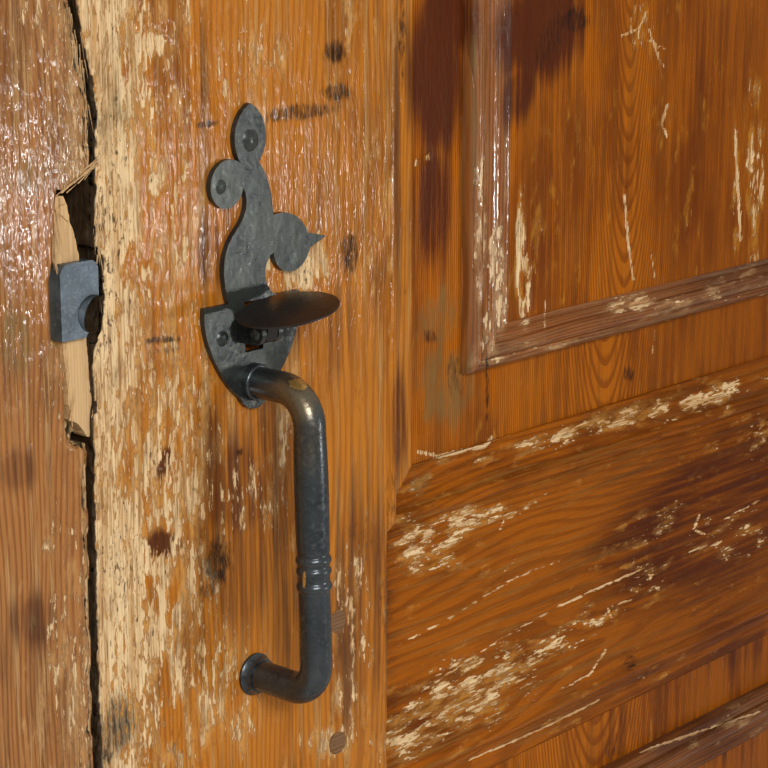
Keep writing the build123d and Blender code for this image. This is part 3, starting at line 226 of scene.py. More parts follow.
def scratch_field(pixels, reach=3.0):
    """1 on a scratch's middle, 0.5 at its edge, and falling to 0 beyond."""
    field = np.zeros(len(pixels))
    for points, half_wide in SCRATCHES:
        for start, end in zip(points, points[1:]):
            a, b = np.array(start, float), np.array(end, float)
            t = np.clip(((pixels - a) @ (b - a)) / ((b - a) @ (b - a)), 0, 1)
            gap = np.linalg.norm(pixels - (a + t[:, None] * (b - a)), axis=1)
            field = np.maximum(field, np.clip(0.5 + (half_wide - gap) / (2 * reach), 0, 1))
    return field

# %% [markdown]
# ## Boards cut fine enough to wear
# Wear has depth: flakes are gone, the meeting edge has crumbled, and worms have eaten the sapwood.
# A mesh can only show that where it has points, so the boards near the handle are cut into a fine grid there,
# and stay coarse elsewhere. Cutting the middle first, then each half, keeps it quick. Faces are only divided,
# so the board stays one closed skin.

# %% Cut a board's front into a fine grid
MERGE = 0.01 * MM
FLAT_TURN = math.radians(0.5)
ZONE_EDGE = 12 * MM
GAP_X = -0.5315
GAP_REACH = 16 * MM
LINING_CUTS_MM = (0.8, 2.0, 3.6, 6.0, 11.0)
# Rows of the photograph between which the jamb is torn open, with a soft start and end; the hollow behind
# it is made black there, as painted shade
TORN_ROWS = (120, 190, 440, 500)


def merged(node):
    """A CAD node's mesh with its doubles merged and its flats joined."""
    bm = bmesh.new()
    bm.from_mesh(nodes[node].data)
    bmesh.ops.remove_doubles(bm, verts=bm.verts, dist=MERGE)
    bmesh.ops.dissolve_limit(bm, angle_limit=FLAT_TURN, verts=bm.verts, edges=bm.edges)
    bm.normal_update()
    return bm


def slice_faces(bm, faces, axis, places):
    """Cuts faces by planes across one axis, and returns all of them."""
    if not places or not faces:
        return list(faces)
    half = len(places) // 2
    point, normal = Vector((0, 0, 0)), Vector((0, 0, 0))
    point[axis], normal[axis] = places[half], 1
    corners = dict.fromkeys(v for f in faces for v in f.verts)
    edges = dict.fromkeys(e for f in faces for e in f.edges)
    geometry = [*corners, *edges, *faces]
    cut = bmesh.ops.bisect_plane(bm, geom=geometry, dist=MERGE / 10, plane_co=point, plane_no=normal)
    pieces = [g for g in cut["geom"] if isinstance(g, bmesh.types.BMFace)]
    low = [f for f in pieces if f.calc_center_median()[axis] < places[half]]
    high = [f for f in pieces if f.calc_center_median()[axis] >= places[half]]
    return slice_faces(bm, low, axis, places[:half]) + slice_faces(bm, high, axis, places[half + 1:])


def steps(low, high, spacing):
    count = max(1, round((high - low) / spacing))
    return [low + (high - low) * k / count for k in range(count + 1)]


def cut_front(bm, spacing):
    """Cuts the faces that the photograph sees, or that line the meeting gap, into a grid."""
    zone = {
        0: (SEEN_X[0] - ZONE_EDGE, SEEN_X[1] + ZONE_EDGE),
        2: (SEEN_Z[0] - ZONE_EDGE, SEEN_Z[1] + ZONE_EDGE),
    }
    bm.faces.ensure_lookup_table()

    def wanted(f):
        centre = f.calc_center_median()
        lines_gap = abs(f.normal.x) > 0.5 and abs(centre.x - GAP_X) < GAP_REACH and centre.y < 0
        return f.normal.y < -0.1 or lines_gap

    lining = [f for f in bm.faces if wanted(f) and abs(f.normal.x) > 0.5]
    slice_faces(bm, lining, 1, [FACE_Y + deep * MM for deep in LINING_CUTS_MM])
    faces = [f for f in bm.faces if wanted(f)]
    for axis, (low, high) in zone.items():
        faces = slice_faces(bm, faces, axis, [low, high])
        faces = [f for f in faces if low < f.calc_center_median()[axis] < high]
    for axis in (2, 0):
        ends = [v.co[axis] for f in faces for v in f.verts]
        faces = slice_faces(bm, faces, axis, steps(min(ends), max(ends), spacing)[1:-1])
    bm.normal_update()
    return bm


# %% [markdown]
# ## Wear in the mesh
# Wood goes soft in lines: the summer wood between two rings wears away first, along the grain.
# So every noise here is stretched along the grain, upright on stiles and panels, level on rails.
# The same fields that push points into the wood are stored as attributes, and the finish reads them,
# so a chip is bare exactly where it is deep.

# %% Noise along the grain, and the depth of wear
def smooth_step(low, high, x):
    t = np.clip((x - low) / (high - low), 0, 1)
    return t * t * (3 - 2 * t)


def grain_noise(points, grain, across_mm, along_mm, seed, octaves=4):
    """Noise from 0 to 1 with grains of a real size, longer along the grain."""
    stretch = np.full(3, 1 / (across_mm * MM))
    stretch[grain] = 1 / (along_mm * MM)
    shifted = points * stretch + seed
    values = [noise.fractal(Vector(p), 1.0, 2.0, octaves) for p in shifted]
    return np.clip(0.5 + 0.6 * np.array(values), 0, 1)


def meeting_edge(points, side):
    """For each point, how far the board's worn meeting edge is, from its own front corner at that height."""
    front = (points[:, 1] < FACE_Y + 0.3 * MM) & (np.abs(points[:, 0] - GAP_X) < GAP_REACH)
    best = {}
    for z, x in zip(np.round(points[front, 2], 3), points[front, 0]):
        best[z] = max(best.get(z, -9), x * side)
    heights = np.array(sorted(best))
    edge = np.array([best[z] * side for z in heights])
    edge = np.convolve(np.pad(edge, 2, mode="edge"), np.ones(5) / 5, mode="valid")
    return side * (np.interp(points[:, 2], heights, edge) - points[:, 0])


def weather(bm, grain, seed, furrow_mm, edge_side=0, edge_round_mm=5.0, edge_ragged_mm=2.0):
    """Wears a board in place, and returns its fields for the finish."""
    points = np.array([v.co for v in bm.verts])
    facing = np.array([v.normal.y for v in bm.verts])
    pixels = photo_place(points)
    behind = points[:, 1] - FACE_Y
    near = np.clip(2 - behind / (10 * MM), 0, 1)
    inset = np.minimum.reduce([
        points[:, 0] - SEEN_X[0] + ZONE_EDGE, SEEN_X[1] + ZONE_EDGE - points[:, 0],
        points[:, 2] - SEEN_Z[0] + ZONE_EDGE, SEEN_Z[1] + ZONE_EDGE - points[:, 2],
    ])
    near *= smooth_step(0, ZONE_EDGE, inset)
    marked = near > 0
    fields = {kind: np.zeros(len(points)) for kind in (*MARKS, "fresh", "scratch")}
    for kind, marks in MARKS.items():
        fields[kind][marked] = ellipse_field(pixels[marked], marks) * near[marked]
    fields["soot_and_shade"] *= 0.85
    fields["scratch"][marked] = scratch_field(pixels[marked]) * near[marked]

    patch = np.zeros((4, len(points)))
    spots = points[marked]
    patch[0, marked] = grain_noise(spots, grain, 5, 22, seed)
    patch[1, marked] = grain_noise(spots, grain, 1.6, 5, seed + 7.3, 3)
    patch[2, marked] = grain_noise(spots, grain, 2.2, 60, seed + 3.1, 3)
    patch[3, marked] = grain_noise(spots, grain, 9, 14, seed + 5.7, 4)
    flake, pit, furrow, lump = patch
    bare = fields["bare"]
    worn = np.clip(bare * 1.2 + (flake - 0.5) * 1.1 * np.minimum(1, 0.35 + bare), 0, 1)

    front = np.clip(-facing * 2, 0, 1) * near
    depth = 0.55 * smooth_step(0.42, 0.6, worn)
    depth += furrow_mm * smooth_step(0.42, 0.62, furrow) * (0.25 + bare)
    depth += 0.7 * smooth_step(0.54, 0.66, pit) * smooth_step(0.45, 0.9, bare)
    depth += 0.3 * (fields["scratch"] > 0.5)
    depth += 0.5 * lump * (0.3 + bare)
    ragged = np.zeros(len(points))
    if edge_side:
        from_edge = meeting_edge(points, edge_side)
        crumb = grain_noise(points, 2, 6, 9, seed + 11.9, 5)
        reach = (edge_round_mm + 5 * (crumb - 0.3)) * MM
        near_edge = np.clip(1 - from_edge / np.maximum(reach, MM), 0, 1)
        depth += 3.4 * near_edge**2 * (0.4 + crumb)
        wall = np.clip(1 - behind / (20 * MM), 0, 1) * smooth_step(0, ZONE_EDGE, inset)
        close = np.exp(-np.maximum(from_edge, 0) / (5 * MM))
        ragged = -edge_side * edge_ragged_mm * smooth_step(0.35, 0.75, crumb) * close * wall
        worn = np.maximum(worn, near_edge * np.clip(0.2 + bare + crumb * 0.5, 0, 1))
        # Painted shade in the meeting gap: its lining is made black from 1 to 3.2 mm in, easing from 6 to 11
        # mm
        lining = (np.abs(points[:, 0] - GAP_X) < GAP_REACH) & (facing > -0.6)
        deep = behind[lining] / MM
        fields["soot_and_shade"][lining] = smooth_step(1.0, 3.2, deep) * (1 - 0.65 * smooth_step(6.0, 11.0, deep))
        # The worn face is made black where its wear is deepest, at the crumbled meeting edge: painted shade
        # in the hollows
        fields["soot_and_shade"] = np.maximum(fields["soot_and_shade"], 0.9 * smooth_step(1.9, 3.4, depth * front))
        # On the leaf, a band along the meeting edge is made black: painted shade at the mouth of the gap
        if edge_side < 0:
            at_edge = (from_edge < 4 * MM) & (behind < 12 * MM)
            fields["soot_and_shade"][at_edge] += 1.2 * (1 - smooth_step(0.4, 2.4, from_edge[at_edge] / MM))
        # Behind the torn part of the jamb the hollow is made black: painted shade in the recess
        recess = (np.abs(points[:, 0] - GAP_X) < 2.5 * GAP_REACH) & (behind > 10.5 * MM)
        row = pixels[:, 1]
        torn = smooth_step(*TORN_ROWS[:2], row) * (1 - smooth_step(*TORN_ROWS[2:], row))
        fields["soot_and_shade"][recess] = np.maximum(fields["soot_and_shade"], 1.4 * torn)[recess]
        fields["soot_and_shade"] *= smooth_step(0, ZONE_EDGE, inset) * (behind < 40 * MM)
    for v, sink, slip in zip(bm.verts, depth * front, ragged):
        v.co.y += sink * MM
        v.co.x += slip * MM
    fields["bare"] = np.maximum(worn * near, 0)
    return fields


# %% Keep a worn board as a piece that stands for its node
SHARP = math.radians(38)
FLAT_BACK = 0.999
pieces = {}


def keep(bm, name, node, fields=None):
    """Makes the mesh a piece on its node's body, with smooth faces between sharp edges."""
    mesh = bpy.data.meshes.new(name)
    bm.to_mesh(mesh)
    bm.free()
    mesh.set_sharp_from_angle(angle=SHARP)
    for face in mesh.polygons:
        face.use_smooth = face.normal.y < FLAT_BACK
    for kind, values in (fields or {}).items():
        layer = mesh.attributes.new(kind, "FLOAT", "POINT")
        layer.data.foreach_set("value", values.astype(np.float32))
    piece = place_object(name, mesh)
    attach(piece, body_of_node[node])
    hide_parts(node)
    pieces[node] = piece
    return piece


UPRIGHT, LEVEL = 2, 0
# Node: grain, grid in mm, furrow in mm, side of the meeting edge, its rounding and raggedness in mm
BOARDS = {
    "latch_stile": (UPRIGHT, 1.4, 0.35, -1, 3.6, 1.6),
    "latch_jamb": (UPRIGHT, 1.4, 0.3, 1, 2.6, 1.0),
    "lock_rail": (LEVEL, 1.6, 0.25, 0, 0, 0),
    "upper_panel": (UPRIGHT, 1.7, 0.08, 0, 0, 0),
    "lower_panel": (UPRIGHT, 2.5, 0.15, 0, 0, 0),
    "upper_moulding_left": (UPRIGHT, 1.4, 0.2, 0, 0, 0),
    "upper_moulding_bottom": (LEVEL, 1.6, 0.2, 0, 0, 0),
    "lower_moulding_top": (LEVEL, 1.8, 0.2, 0, 0, 0),
    "lower_moulding_left": (UPRIGHT, 2.5, 0.2, 0, 0, 0),
}
for number, (node, (grain, grid, furrow, side, rounding, ragged)) in enumerate(BOARDS.items()):
    board = cut_front(merged(node), grid * MM)
    fields = weather(board, grain, 17.0 * number, furrow, side, rounding, ragged)
    if node == "latch_jamb":
        spots = np.array([v.co for v in board.verts])
        row = photo_place(spots)[:, 1]
        bed = (spots[:, 1] > FACE_Y + 3 * MM) & (spots[:, 1] < FACE_Y + 12 * MM) & (row > 170) & (row < 450)
        fields["fresh"][bed & (np.abs(spots[:, 0] - GAP_X) < 28 * MM)] = 1.0
    piece = keep(board, "worn_" + node, node, fields)
    print(piece.name, len(piece.data.vertices), "points")

# %% [markdown]
# ## The finish of old varnished pine
# Pine has pale spring wood and a darker line of summer wood for each year, 1.5 to 4 mm apart here.
# Where a board is sawn across the rings at a slant they show as long tongues. Many coats of varnish have
# turned it orange and brown, and gloss lies over every bump. Where they have flaked off, the wood is pale
# and dull.
# A shader is built here in the order of the layers: wood, varnish, stains, flakes, and soot, which also
# paints the shade of the meeting gap black. A few helpers each make one such layer, and one small function
# adds a node.

# %% Helpers for colours and shader layers
def linear(hex_colour):
    """An sRGB hex colour as the linear colour that a shader takes."""
    parts = [int(hex_colour[k:k + 2], 16) / 255 for k in (1, 3, 5)]
    return (*[c / 12.92 if c <= 0.04045 else ((c + 0.055) / 1.055) ** 2.4 for c in parts], 1.0)


def add(tree, kind, inputs=None, out=0, **settings):
    """Adds one node with its settings, and its inputs as values or as sockets to link. Returns one output."""
    node = tree.nodes.new(kind)
    for key, value in settings.items():
        setattr(node, key, value)
    for key, value in (inputs or {}).items():
        if isinstance(value, bpy.types.NodeSocket):
            tree.links.new(value, node.inputs[key])
        else:
            node.inputs[key].default_value = value
    return node.outputs[out]


def new_material(name):
    """A material with its tree and its shader."""
    material = bpy.data.materials.new(name)
    material.use_nodes = True
    return material, material.node_tree, material.node_tree.nodes["Principled BSDF"]


def stored(tree, *kinds):
    """The fields stored on the mesh, by their kind."""
    return {kind: add(tree, "ShaderNodeAttribute", out="Fac", attribute_name=kind) for kind in kinds}


def grains(tree, place, sizes):
    """One noise for each row of sizes: its width in mm, how many times longer it is along the grain, and
    its detail."""
    made = {}
    for number, (name, (size_mm, stretch, detail)) in enumerate(sizes.items()):
        shrunk = add(tree, "ShaderNodeMapping", {"Vector": place, "Location": (1.3 * number,) * 3,
                                                 "Scale": (1, 1, 1 / stretch)})
        made[name] = add(tree, "ShaderNodeTexNoise", {"Vector": shrunk, "Scale": 1 / (size_mm * MM),
                                                      "Detail": detail, "Roughness": 0.6})
    return made


def patchy(tree, field, grain, lean, low, high, most=1.0):
    """How much of a layer shows: a field of 0 to 1 whose border is broken up by a grain."""
    offset = add(tree, "ShaderNodeMath", {0: field, 1: -0.5 * lean}, operation="ADD")
    broken = add(tree, "ShaderNodeMath", {0: grain, 1: lean, 2: offset}, operation="MULTIPLY_ADD")
    shown = {"Value": broken, "From Min": low, "From Max": high, "To Max": most}
    return add(tree, "ShaderNodeMapRange", shown, interpolation_type="SMOOTHSTEP")


def painted(tree, ground, coats):
    """Lays coats over a ground colour, each by its share: one output, or the values that patchy() takes."""
    for share, tone in coats:
        if isinstance(share, tuple):
            share = patchy(tree, *share)
        ground = add(tree, "ShaderNodeMix", {0: share, 6: ground, 7: tone}, out=2, data_type="RGBA")
    return ground


def relief(tree, parts):
    """A bump from several grains, each with its height in mm."""
    height = 0.0
    for grain, high_mm in parts:
        height = add(tree, "ShaderNodeMath", {0: grain, 1: high_mm, 2: height}, operation="MULTIPLY_ADD")
    return add(tree, "ShaderNodeBump", {"Height": height, "Distance": MM, "Strength": 1.0})


# %% [markdown]
# ## Varnished pine
# The grain runs along Z in each material, so a rail's is turned level and an arch rail's to 45 degrees.
# The rings are circles round the tree's heart, which lies behind the board: close behind it, and leaning,
# for the panel, whose face shows long tongues, and off to one side for the stiles, whose faces show lines.

# %% Varnished pine
PINE_GRAINS = {
    "fibre": (0.9, 40, 4), "streak": (5, 28, 5), "cloud": (55, 2.4, 4), "flake": (7, 3.0, 5),
    "chip": (1.8, 3.8, 5), "speck": (1.5, 3.0, 3), "lump": (2.4, 3.4, 2),
}
# Old varnish is crazed and dusty, and mirrors less than a new coat
SPECULAR = 0.2
RAW_LIGHT, RAW_TAN, RAW_HOLE = linear("#E3C393"), linear("#A97B4B"), linear("#3A2515")
RAW_BROWN = linear("#7E5630")
# The black is for soot and grime, and for the painted shade in the gap
# The grey is dull dirt, and painted sheen in two marks on the jamb
SOOT_AND_SHADE, PLUM, GREY_AND_SHEEN, FRESH = linear("#1C110B"), linear("#43190B"), linear("#6B5B36"), linear("#D9BC86")


def varnished_pine(name, spring, summer, deep, thin, ring_mm=3.0, grain_turn=0.0, heart=(0.0, 0.09),
                   slant=1.2, wander_mm=20.0, ring_show=0.72, light=0.35, darker=0.45, lumps_mm=0.3, worn=0.5,
                   gloss=0.2, mirror=SPECULAR, edge_wear=0.0, seed=0.0):
    """Flat-sawn pine under old varnish. heart is where the tree's heart lies, across and behind, in metres.
    Towards the hinge side it is darker, partly a darker old finish and partly painted shade where the light
    falls off. edge_wear is for boards that meet at the latch side, which knock against each other over their
    whole height."""
    material, tree, shader = new_material(name)
    place = add(tree, "ShaderNodeTexCoord", out="Object")
    along = add(tree, "ShaderNodeMapping", {"Vector": place, "Rotation": (0, math.radians(grain_turn), 0)})
    moved = add(tree, "ShaderNodeMapping", {"Vector": along, "Location": (seed * 0.37, 0, seed * 0.91)})
    g = grains(tree, moved, PINE_GRAINS)
    mark = stored(tree, *MARKS, "fresh", "scratch")

    # Year rings, bent a little because no tree is straight
    bend = add(tree, "ShaderNodeMapping", {"Vector": moved, "Scale": (1, 1, 0.2)})
    bend = add(tree, "ShaderNodeTexNoise", {"Vector": bend, "Scale": 1 / (60 * MM), "Detail": 2.0},
               out="Color")
    bend = add(tree, "ShaderNodeVectorMath", {0: bend, 1: (0.5, 0.5, 0.5)}, operation="SUBTRACT")
    bent = add(tree, "ShaderNodeVectorMath", {0: bend, 1: (wander_mm * MM,) * 3, 2: along},
               operation="MULTIPLY_ADD")
    trunk = add(tree, "ShaderNodeMapping", {"Vector": bent, "Rotation": (math.radians(slant), 0, 0),
                                            "Location": (-heart[0], heart[1], 0)})
    rings = add(tree, "ShaderNodeTexWave", {"Vector": trunk, "Scale": math.pi / (10 * ring_mm * MM)},
                out="Fac", wave_type="RINGS", rings_direction="Z", wave_profile="SAW")
    late = add(tree, "ShaderNodeMapRange", {"Value": rings, "From Min": 0.25, "From Max": 0.92},
               interpolation_type="SMOOTHSTEP")
    late = patchy(tree, late, g["fibre"], 0.7, 0.25, 0.9, ring_show)

    # The coats, from the wood outwards
    raw = painted(tree, RAW_LIGHT, [
        ((g["fibre"], g["streak"], 1.2, 0.3, 0.8, 0.85), RAW_TAN),
        ((g["streak"], g["fibre"], 0.9, 0.45, 0.85, 0.75), thin),
        ((g["flake"], g["fibre"], 1.2, 0.42, 0.85, 0.8), RAW_BROWN),
    ])
    hole = patchy(tree, mark["bare"], g["speck"], 2.6, 1.1, 1.45, 0.85)
    raw = painted(tree, raw, [(hole, RAW_HOLE)])
    general = patchy(tree, g["cloud"], g["flake"], 0.8, 0.42, 0.95, worn)
    bare = add(tree, "ShaderNodeMath", {0: mark["bare"], 1: general}, operation="MAXIMUM")
    across = add(tree, "ShaderNodeSeparateXYZ", {0: place})
    if edge_wear:
        off = add(tree, "ShaderNodeMath", {0: across, 1: GAP_X}, operation="SUBTRACT")
        off = add(tree, "ShaderNodeMath", {0: off}, operation="ABSOLUTE")
        rubbed = add(tree, "ShaderNodeMapRange", {"Value": off, "From Min": 70 * MM, "From Max": 6 * MM})
        rubbed = patchy(tree, rubbed, g["cloud"], 1.2, 0.2, 1.2, edge_wear)
        bare = add(tree, "ShaderNodeMath", {0: bare, 1: rubbed}, operation="MAXIMUM")
    flaked = patchy(tree, bare, g["chip"], 1.9, 0.46, 0.67)
    scratched = patchy(tree, mark["scratch"], g["chip"], 0.9, 0.5, 0.6, 0.9)
    flaked = add(tree, "ShaderNodeMath", {0: flaked, 1: scratched}, operation="MAXIMUM")
    # Darker towards the hinge side, from -0.3 to -0.02 m across: partly a darker old finish, partly painted
    # shade where the light falls off
    away = add(tree, "ShaderNodeMapRange", {"Value": across, "From Min": -0.3, "From Max": -0.02})
    varnish = painted(tree, spring, [
        (late, summer),
        ((g["fibre"], g["streak"], 0.5, 0.42, 0.75, 0.5), summer),
        ((g["streak"], g["cloud"], 0.7, 0.4, 0.75, 0.65), deep),
        ((g["cloud"], g["streak"], 0.5, 0.44, 0.78, 0.68), deep),
        ((g["fibre"], g["streak"], 1.6, 0.5, 0.8, light), thin),
        ((away, g["cloud"], 0.6, 0.1, 1.2, darker), deep),
        ((bare, g["flake"], 1.2, 0.2, 0.75, 0.75), thin),
        ((mark["plum"], g["streak"], 1.3, 0.2, 0.8, 0.9), PLUM),
        ((bare, g["chip"], 1.9, 0.36, 0.5, 0.45), deep),
    ])
    bed = painted(tree, FRESH, [((g["fibre"], g["streak"], 0.5, 0.4, 0.7, 0.6), RAW_TAN)])
    colour = painted(tree, varnish, [
        (flaked, raw),
        (mark["fresh"], bed),
        # Dull grey dirt, and two patches of painted sheen on the jamb
        ((mark["grey_and_sheen"], g["flake"], 1.8, 0.35, 1.2, 0.65), GREY_AND_SHEEN),
        # Soot and grime, and the painted shade of the gap and the torn hollow
        ((mark["soot_and_shade"], g["chip"], 1.3, 0.3, 0.85, 0.94), SOOT_AND_SHADE),
    ])
    tree.links.new(colour, shader.inputs["Base Color"])

    dull = add(tree, "ShaderNodeMath", {0: flaked, 1: mark["fresh"]}, operation="MAXIMUM")
    rough = add(tree, "ShaderNodeMapRange", {"Value": g["lump"], "From Min": 0.3, "From Max": 0.7,
                                             "To Min": gloss, "To Max": gloss + 0.16})
    rough = add(tree, "ShaderNodeMath", {0: dull, 1: 0.3, 2: rough}, operation="MULTIPLY_ADD")
    tree.links.new(rough, shader.inputs["Roughness"])
    open_fibre = add(tree, "ShaderNodeMath", {0: g["fibre"], 1: dull}, operation="MULTIPLY")
    bump = relief(tree, [(g["fibre"], 0.04), (open_fibre, 0.3), (late, -0.04), (g["lump"], lumps_mm),
                         (g["streak"], 0.25), (flaked, -0.2), (hole, -0.5)])
    tree.links.new(bump, shader.inputs["Normal"])
    shader.inputs["IOR"].default_value = 1.5
    shader.inputs["Specular IOR Level"].default_value = mirror
    return material


# Spring wood, summer wood, deep varnish and thin varnish. Pine under old varnish is amber with brown lines.
# The oak of threshold and pegs is grey brown and dull, and torn pine is pale, as no varnish ever reached it
TONES = {
    "stile": ("#B8701E", "#894A12", "#5C2C0A", "#CE9B58"),
    "jamb": ("#A66D39", "#784722", "#4E2C15", "#C5965F"),
    "panel": ("#AE600C", "#682E04", "#5C2604", "#BC8028"),
    "rail": ("#9C530A", "#582603", "#471A02", "#BC8238"),
    "moulding": ("#94592A", "#633415", "#3E1E0E", "#BC9060"),
    "oak": ("#7C5837", "#5B3D24", "#4A3220", "#9A7850"),
    "torn": ("#CDA877", "#9A7046", "#6B4A2C", "#DDBB8B"),
}
PINE = {
    "stile": dict(ring_mm=3.2, heart=(-0.36, 0.06), wander_mm=40.0, ring_show=0.5, light=0.5,
                  worn=0.62, gloss=0.1, lumps_mm=0.42, mirror=0.16, edge_wear=0.75),
    "jamb": dict(ring_mm=2.8, heart=(-0.7, 0.12), wander_mm=40.0, ring_show=0.7, light=0.65,
                 worn=0.6, gloss=0.06, lumps_mm=0.48, mirror=0.24, edge_wear=0.45, seed=1.0),
    "panel": dict(ring_mm=1.6, heart=(-0.13, 0.178), slant=6.5, wander_mm=5.0, ring_show=0.58,
                  light=0.15, worn=0.35, mirror=0.06, gloss=0.24, seed=2.0),
    "rail": dict(ring_mm=4.2, grain_turn=90, heart=(0.86, 0.1), wander_mm=40.0, ring_show=0.38,
                 light=0.3, worn=0.62, mirror=0.05, gloss=0.24, seed=3.0),
    "moulding": dict(ring_mm=2.0, worn=0.6, gloss=0.05, mirror=0.8, seed=4.0),
    "level_moulding": dict(tones="moulding", ring_mm=2.0, grain_turn=90, worn=0.6, gloss=0.25, mirror=0.14,
                           seed=5.0),
    "arch_left": dict(tones="stile", grain_turn=45, heart=(0.4, 0.1), seed=6.0),
    "arch_right": dict(tones="stile", grain_turn=-45, heart=(0.5, 0.1), seed=7.0),
    "head_left": dict(tones="jamb", grain_turn=45, heart=(0.2, 0.1), seed=8.0),
    "head_right": dict(tones="jamb", grain_turn=-45, heart=(0.3, 0.1), seed=9.0),
    "oak": dict(ring_mm=2.0, grain_turn=90, gloss=0.5, seed=10.0),
    "torn": dict(ring_mm=1.7, ring_show=0.25, darker=0.0, gloss=0.5, seed=11.0),
}
pine = {}
for kind, settings in PINE.items():
    tones = [linear(tone) for tone in TONES[settings.pop("tones", kind)]]
    name = {"oak": "worn_oak", "torn": "torn_raw_pine"}.get(kind, "varnished_pine_" + kind)
    pine[kind] = varnished_pine(name, *tones, **settings)
BOARDS_OF_FINISH = {
    "stile": ("latch_stile", "hinge_stile"),
    "jamb": ("latch_jamb", "hinge_jamb"),
    "panel": ("upper_panel", "lower_panel"),
    "rail": ("lock_rail", "bottom_rail"),
    "moulding": ("upper_moulding_left", "upper_moulding_right", "lower_moulding_left",
                 "lower_moulding_right", "upper_moulding_arch_left", "upper_moulding_arch_right"),
    "level_moulding": ("upper_moulding_bottom", "lower_moulding_top", "lower_moulding_bottom"),
    "arch_left": ("arch_rail_left",),
    "arch_right": ("arch_rail_right",),
    "head_left": ("head_left",),
    "head_right": ("head_right",),
    "oak": ("threshold", "frame_pegs", "leaf_pegs"),
}


def give(piece, material):
    piece.data.materials.clear()
    piece.data.materials.append(material)


for finish, members in BOARDS_OF_FINISH.items():
    for node in members:
        give(pieces.get(node, nodes[node]), pine[finish])
print("boards with a finish:", sum(len(members) for members in BOARDS_OF_FINISH.values()))

# %% [markdown]
# ## The ironwork
# The plate, the lever and the pull handle are forged and have a rubbed dark patina: green grey where it is
# dull, blue black where it is thin, and brown where hands have polished it. A patina is a thin oxide over
# metal, so the shader is only partly metallic. Real forged edges are never sharp, so each piece is copied,
# and the edges of the plate, the lever, the keeper, the latch bar and the strap hinges are rounded by a
# fraction of a millimetre to catch the light.

# %% Dark iron
IRON_GRAINS = {"cloud": (22, 1, 4), "fine": (2.4, 1, 5), "scale": (0.7, 1, 3), "hammer": (11, 1, 2)}
POLISH_AND_HIGHLIGHT_TONE, BRASS = linear("#7A6A4C"), linear("#C49A55")


def dark_iron(name, main, patch, rubbed, metal=0.5, rough=0.42, pitting=0.06, waves=0.35):
    """Forged iron with a patina: waves are the hammer's marks and pitting the scale's, both in mm."""
    material, tree, shader = new_material(name)
    g = grains(tree, add(tree, "ShaderNodeTexCoord", out="Object"), IRON_GRAINS)
    mark = stored(tree, "brass", "polish_and_highlight")
    colour = painted(tree, linear(main), [
        ((g["cloud"], g["fine"], 0.5, 0.38, 0.66), linear(patch)),
        ((g["fine"], g["cloud"], 0.6, 0.5, 0.78, 0.6), linear(rubbed)),
        # Iron rubbed brown, and a painted highlight on the rose
        ((mark["polish_and_highlight"], g["fine"], 0.5, 0.2, 1.0, 0.7), POLISH_AND_HIGHLIGHT_TONE),
        ((mark["brass"], g["fine"], 1.2, 0.45, 0.55), BRASS),
    ])
    tree.links.new(colour, shader.inputs["Base Color"])
    shader.inputs["Metallic"].default_value = metal
    rough = add(tree, "ShaderNodeMapRange", {"Value": g["fine"], "From Min": 0.3, "From Max": 0.7,
                                             "To Min": rough - 0.07, "To Max": rough + 0.1})
    tree.links.new(rough, shader.inputs["Roughness"])
    bump = relief(tree, [(g["hammer"], waves), (g["scale"], pitting), (g["fine"], pitting)])
    tree.links.new(bump, shader.inputs["Normal"])
    return material


# Main, thin and rubbed colour, how metallic, how rough, and pits and hammer marks in mm: hands keep the grip
# smooth and bright, the press is nearly black, partly its own blackening and partly painted reflection of the
# dark it faces, the keeper is blue and pitted, and the straps are dull
iron = {
    "plate": dark_iron("patinated_plate_iron", "#41443F", "#262C2F", "#767468", 0.6, 0.3, 0.04, 0.35),
    "grip": dark_iron("hand_rubbed_iron", "#4A4E50", "#353A3E", "#686A6A", 0.75, 0.27, 0.03, 0.12),
    "thumb": dark_iron("blackened_iron_and_dark_reflection", "#2C2521", "#221D1B", "#3A322D", 0.5, 0.34, 0.04, 0.1),
    "keeper": dark_iron("blue_scale_iron", "#5E6A73", "#3A4248", "#8A959C", 0.5, 0.34, 0.16, 0.6),
    "forged": dark_iron("forged_strap_iron", "#403F3F", "#2E2B29", "#5A5651", 0.5, 0.48, 0.2, 0.7),
}
PLACES = ("lower", "middle", "upper")
IRON_FINISH = {
    "latch_plate": "plate", "plate_nails": "plate", "lever_pin": "plate", "handle_rose": "grip",
    "pull_handle": "grip", "thumb_lever": "thumb", "keeper": "keeper", "keeper_nails": "forged",
    "latch_bar": "forged", "bar_knob": "forged", "bar_bolt": "forged", "latch_staple": "forged",
    **{f"{place}_{thing}": "forged" for place in PLACES for thing in ("strap_hinge", "pintle")},
}
ROUNDED_MM = {"latch_plate": 0.8, "keeper": 0.7, "latch_bar": 0.6, "thumb_lever": 0.35,
              **{place + "_strap_hinge": 0.6 for place in PLACES}}
BRASS_MARKS = [(298, 384, 9, 5, 1.0, 10), (304, 580, 1.3, 9, 1.0)]
# Of the polish marks, the first two are iron rubbed brown by hands, and the last, on the rose's flange, is a
# painted highlight
POLISH_AND_HIGHLIGHT_MARKS = [(296, 392, 24, 34, 0.9), (306, 440, 16, 40, 0.5), (262, 672, 12, 20, 0.4)]


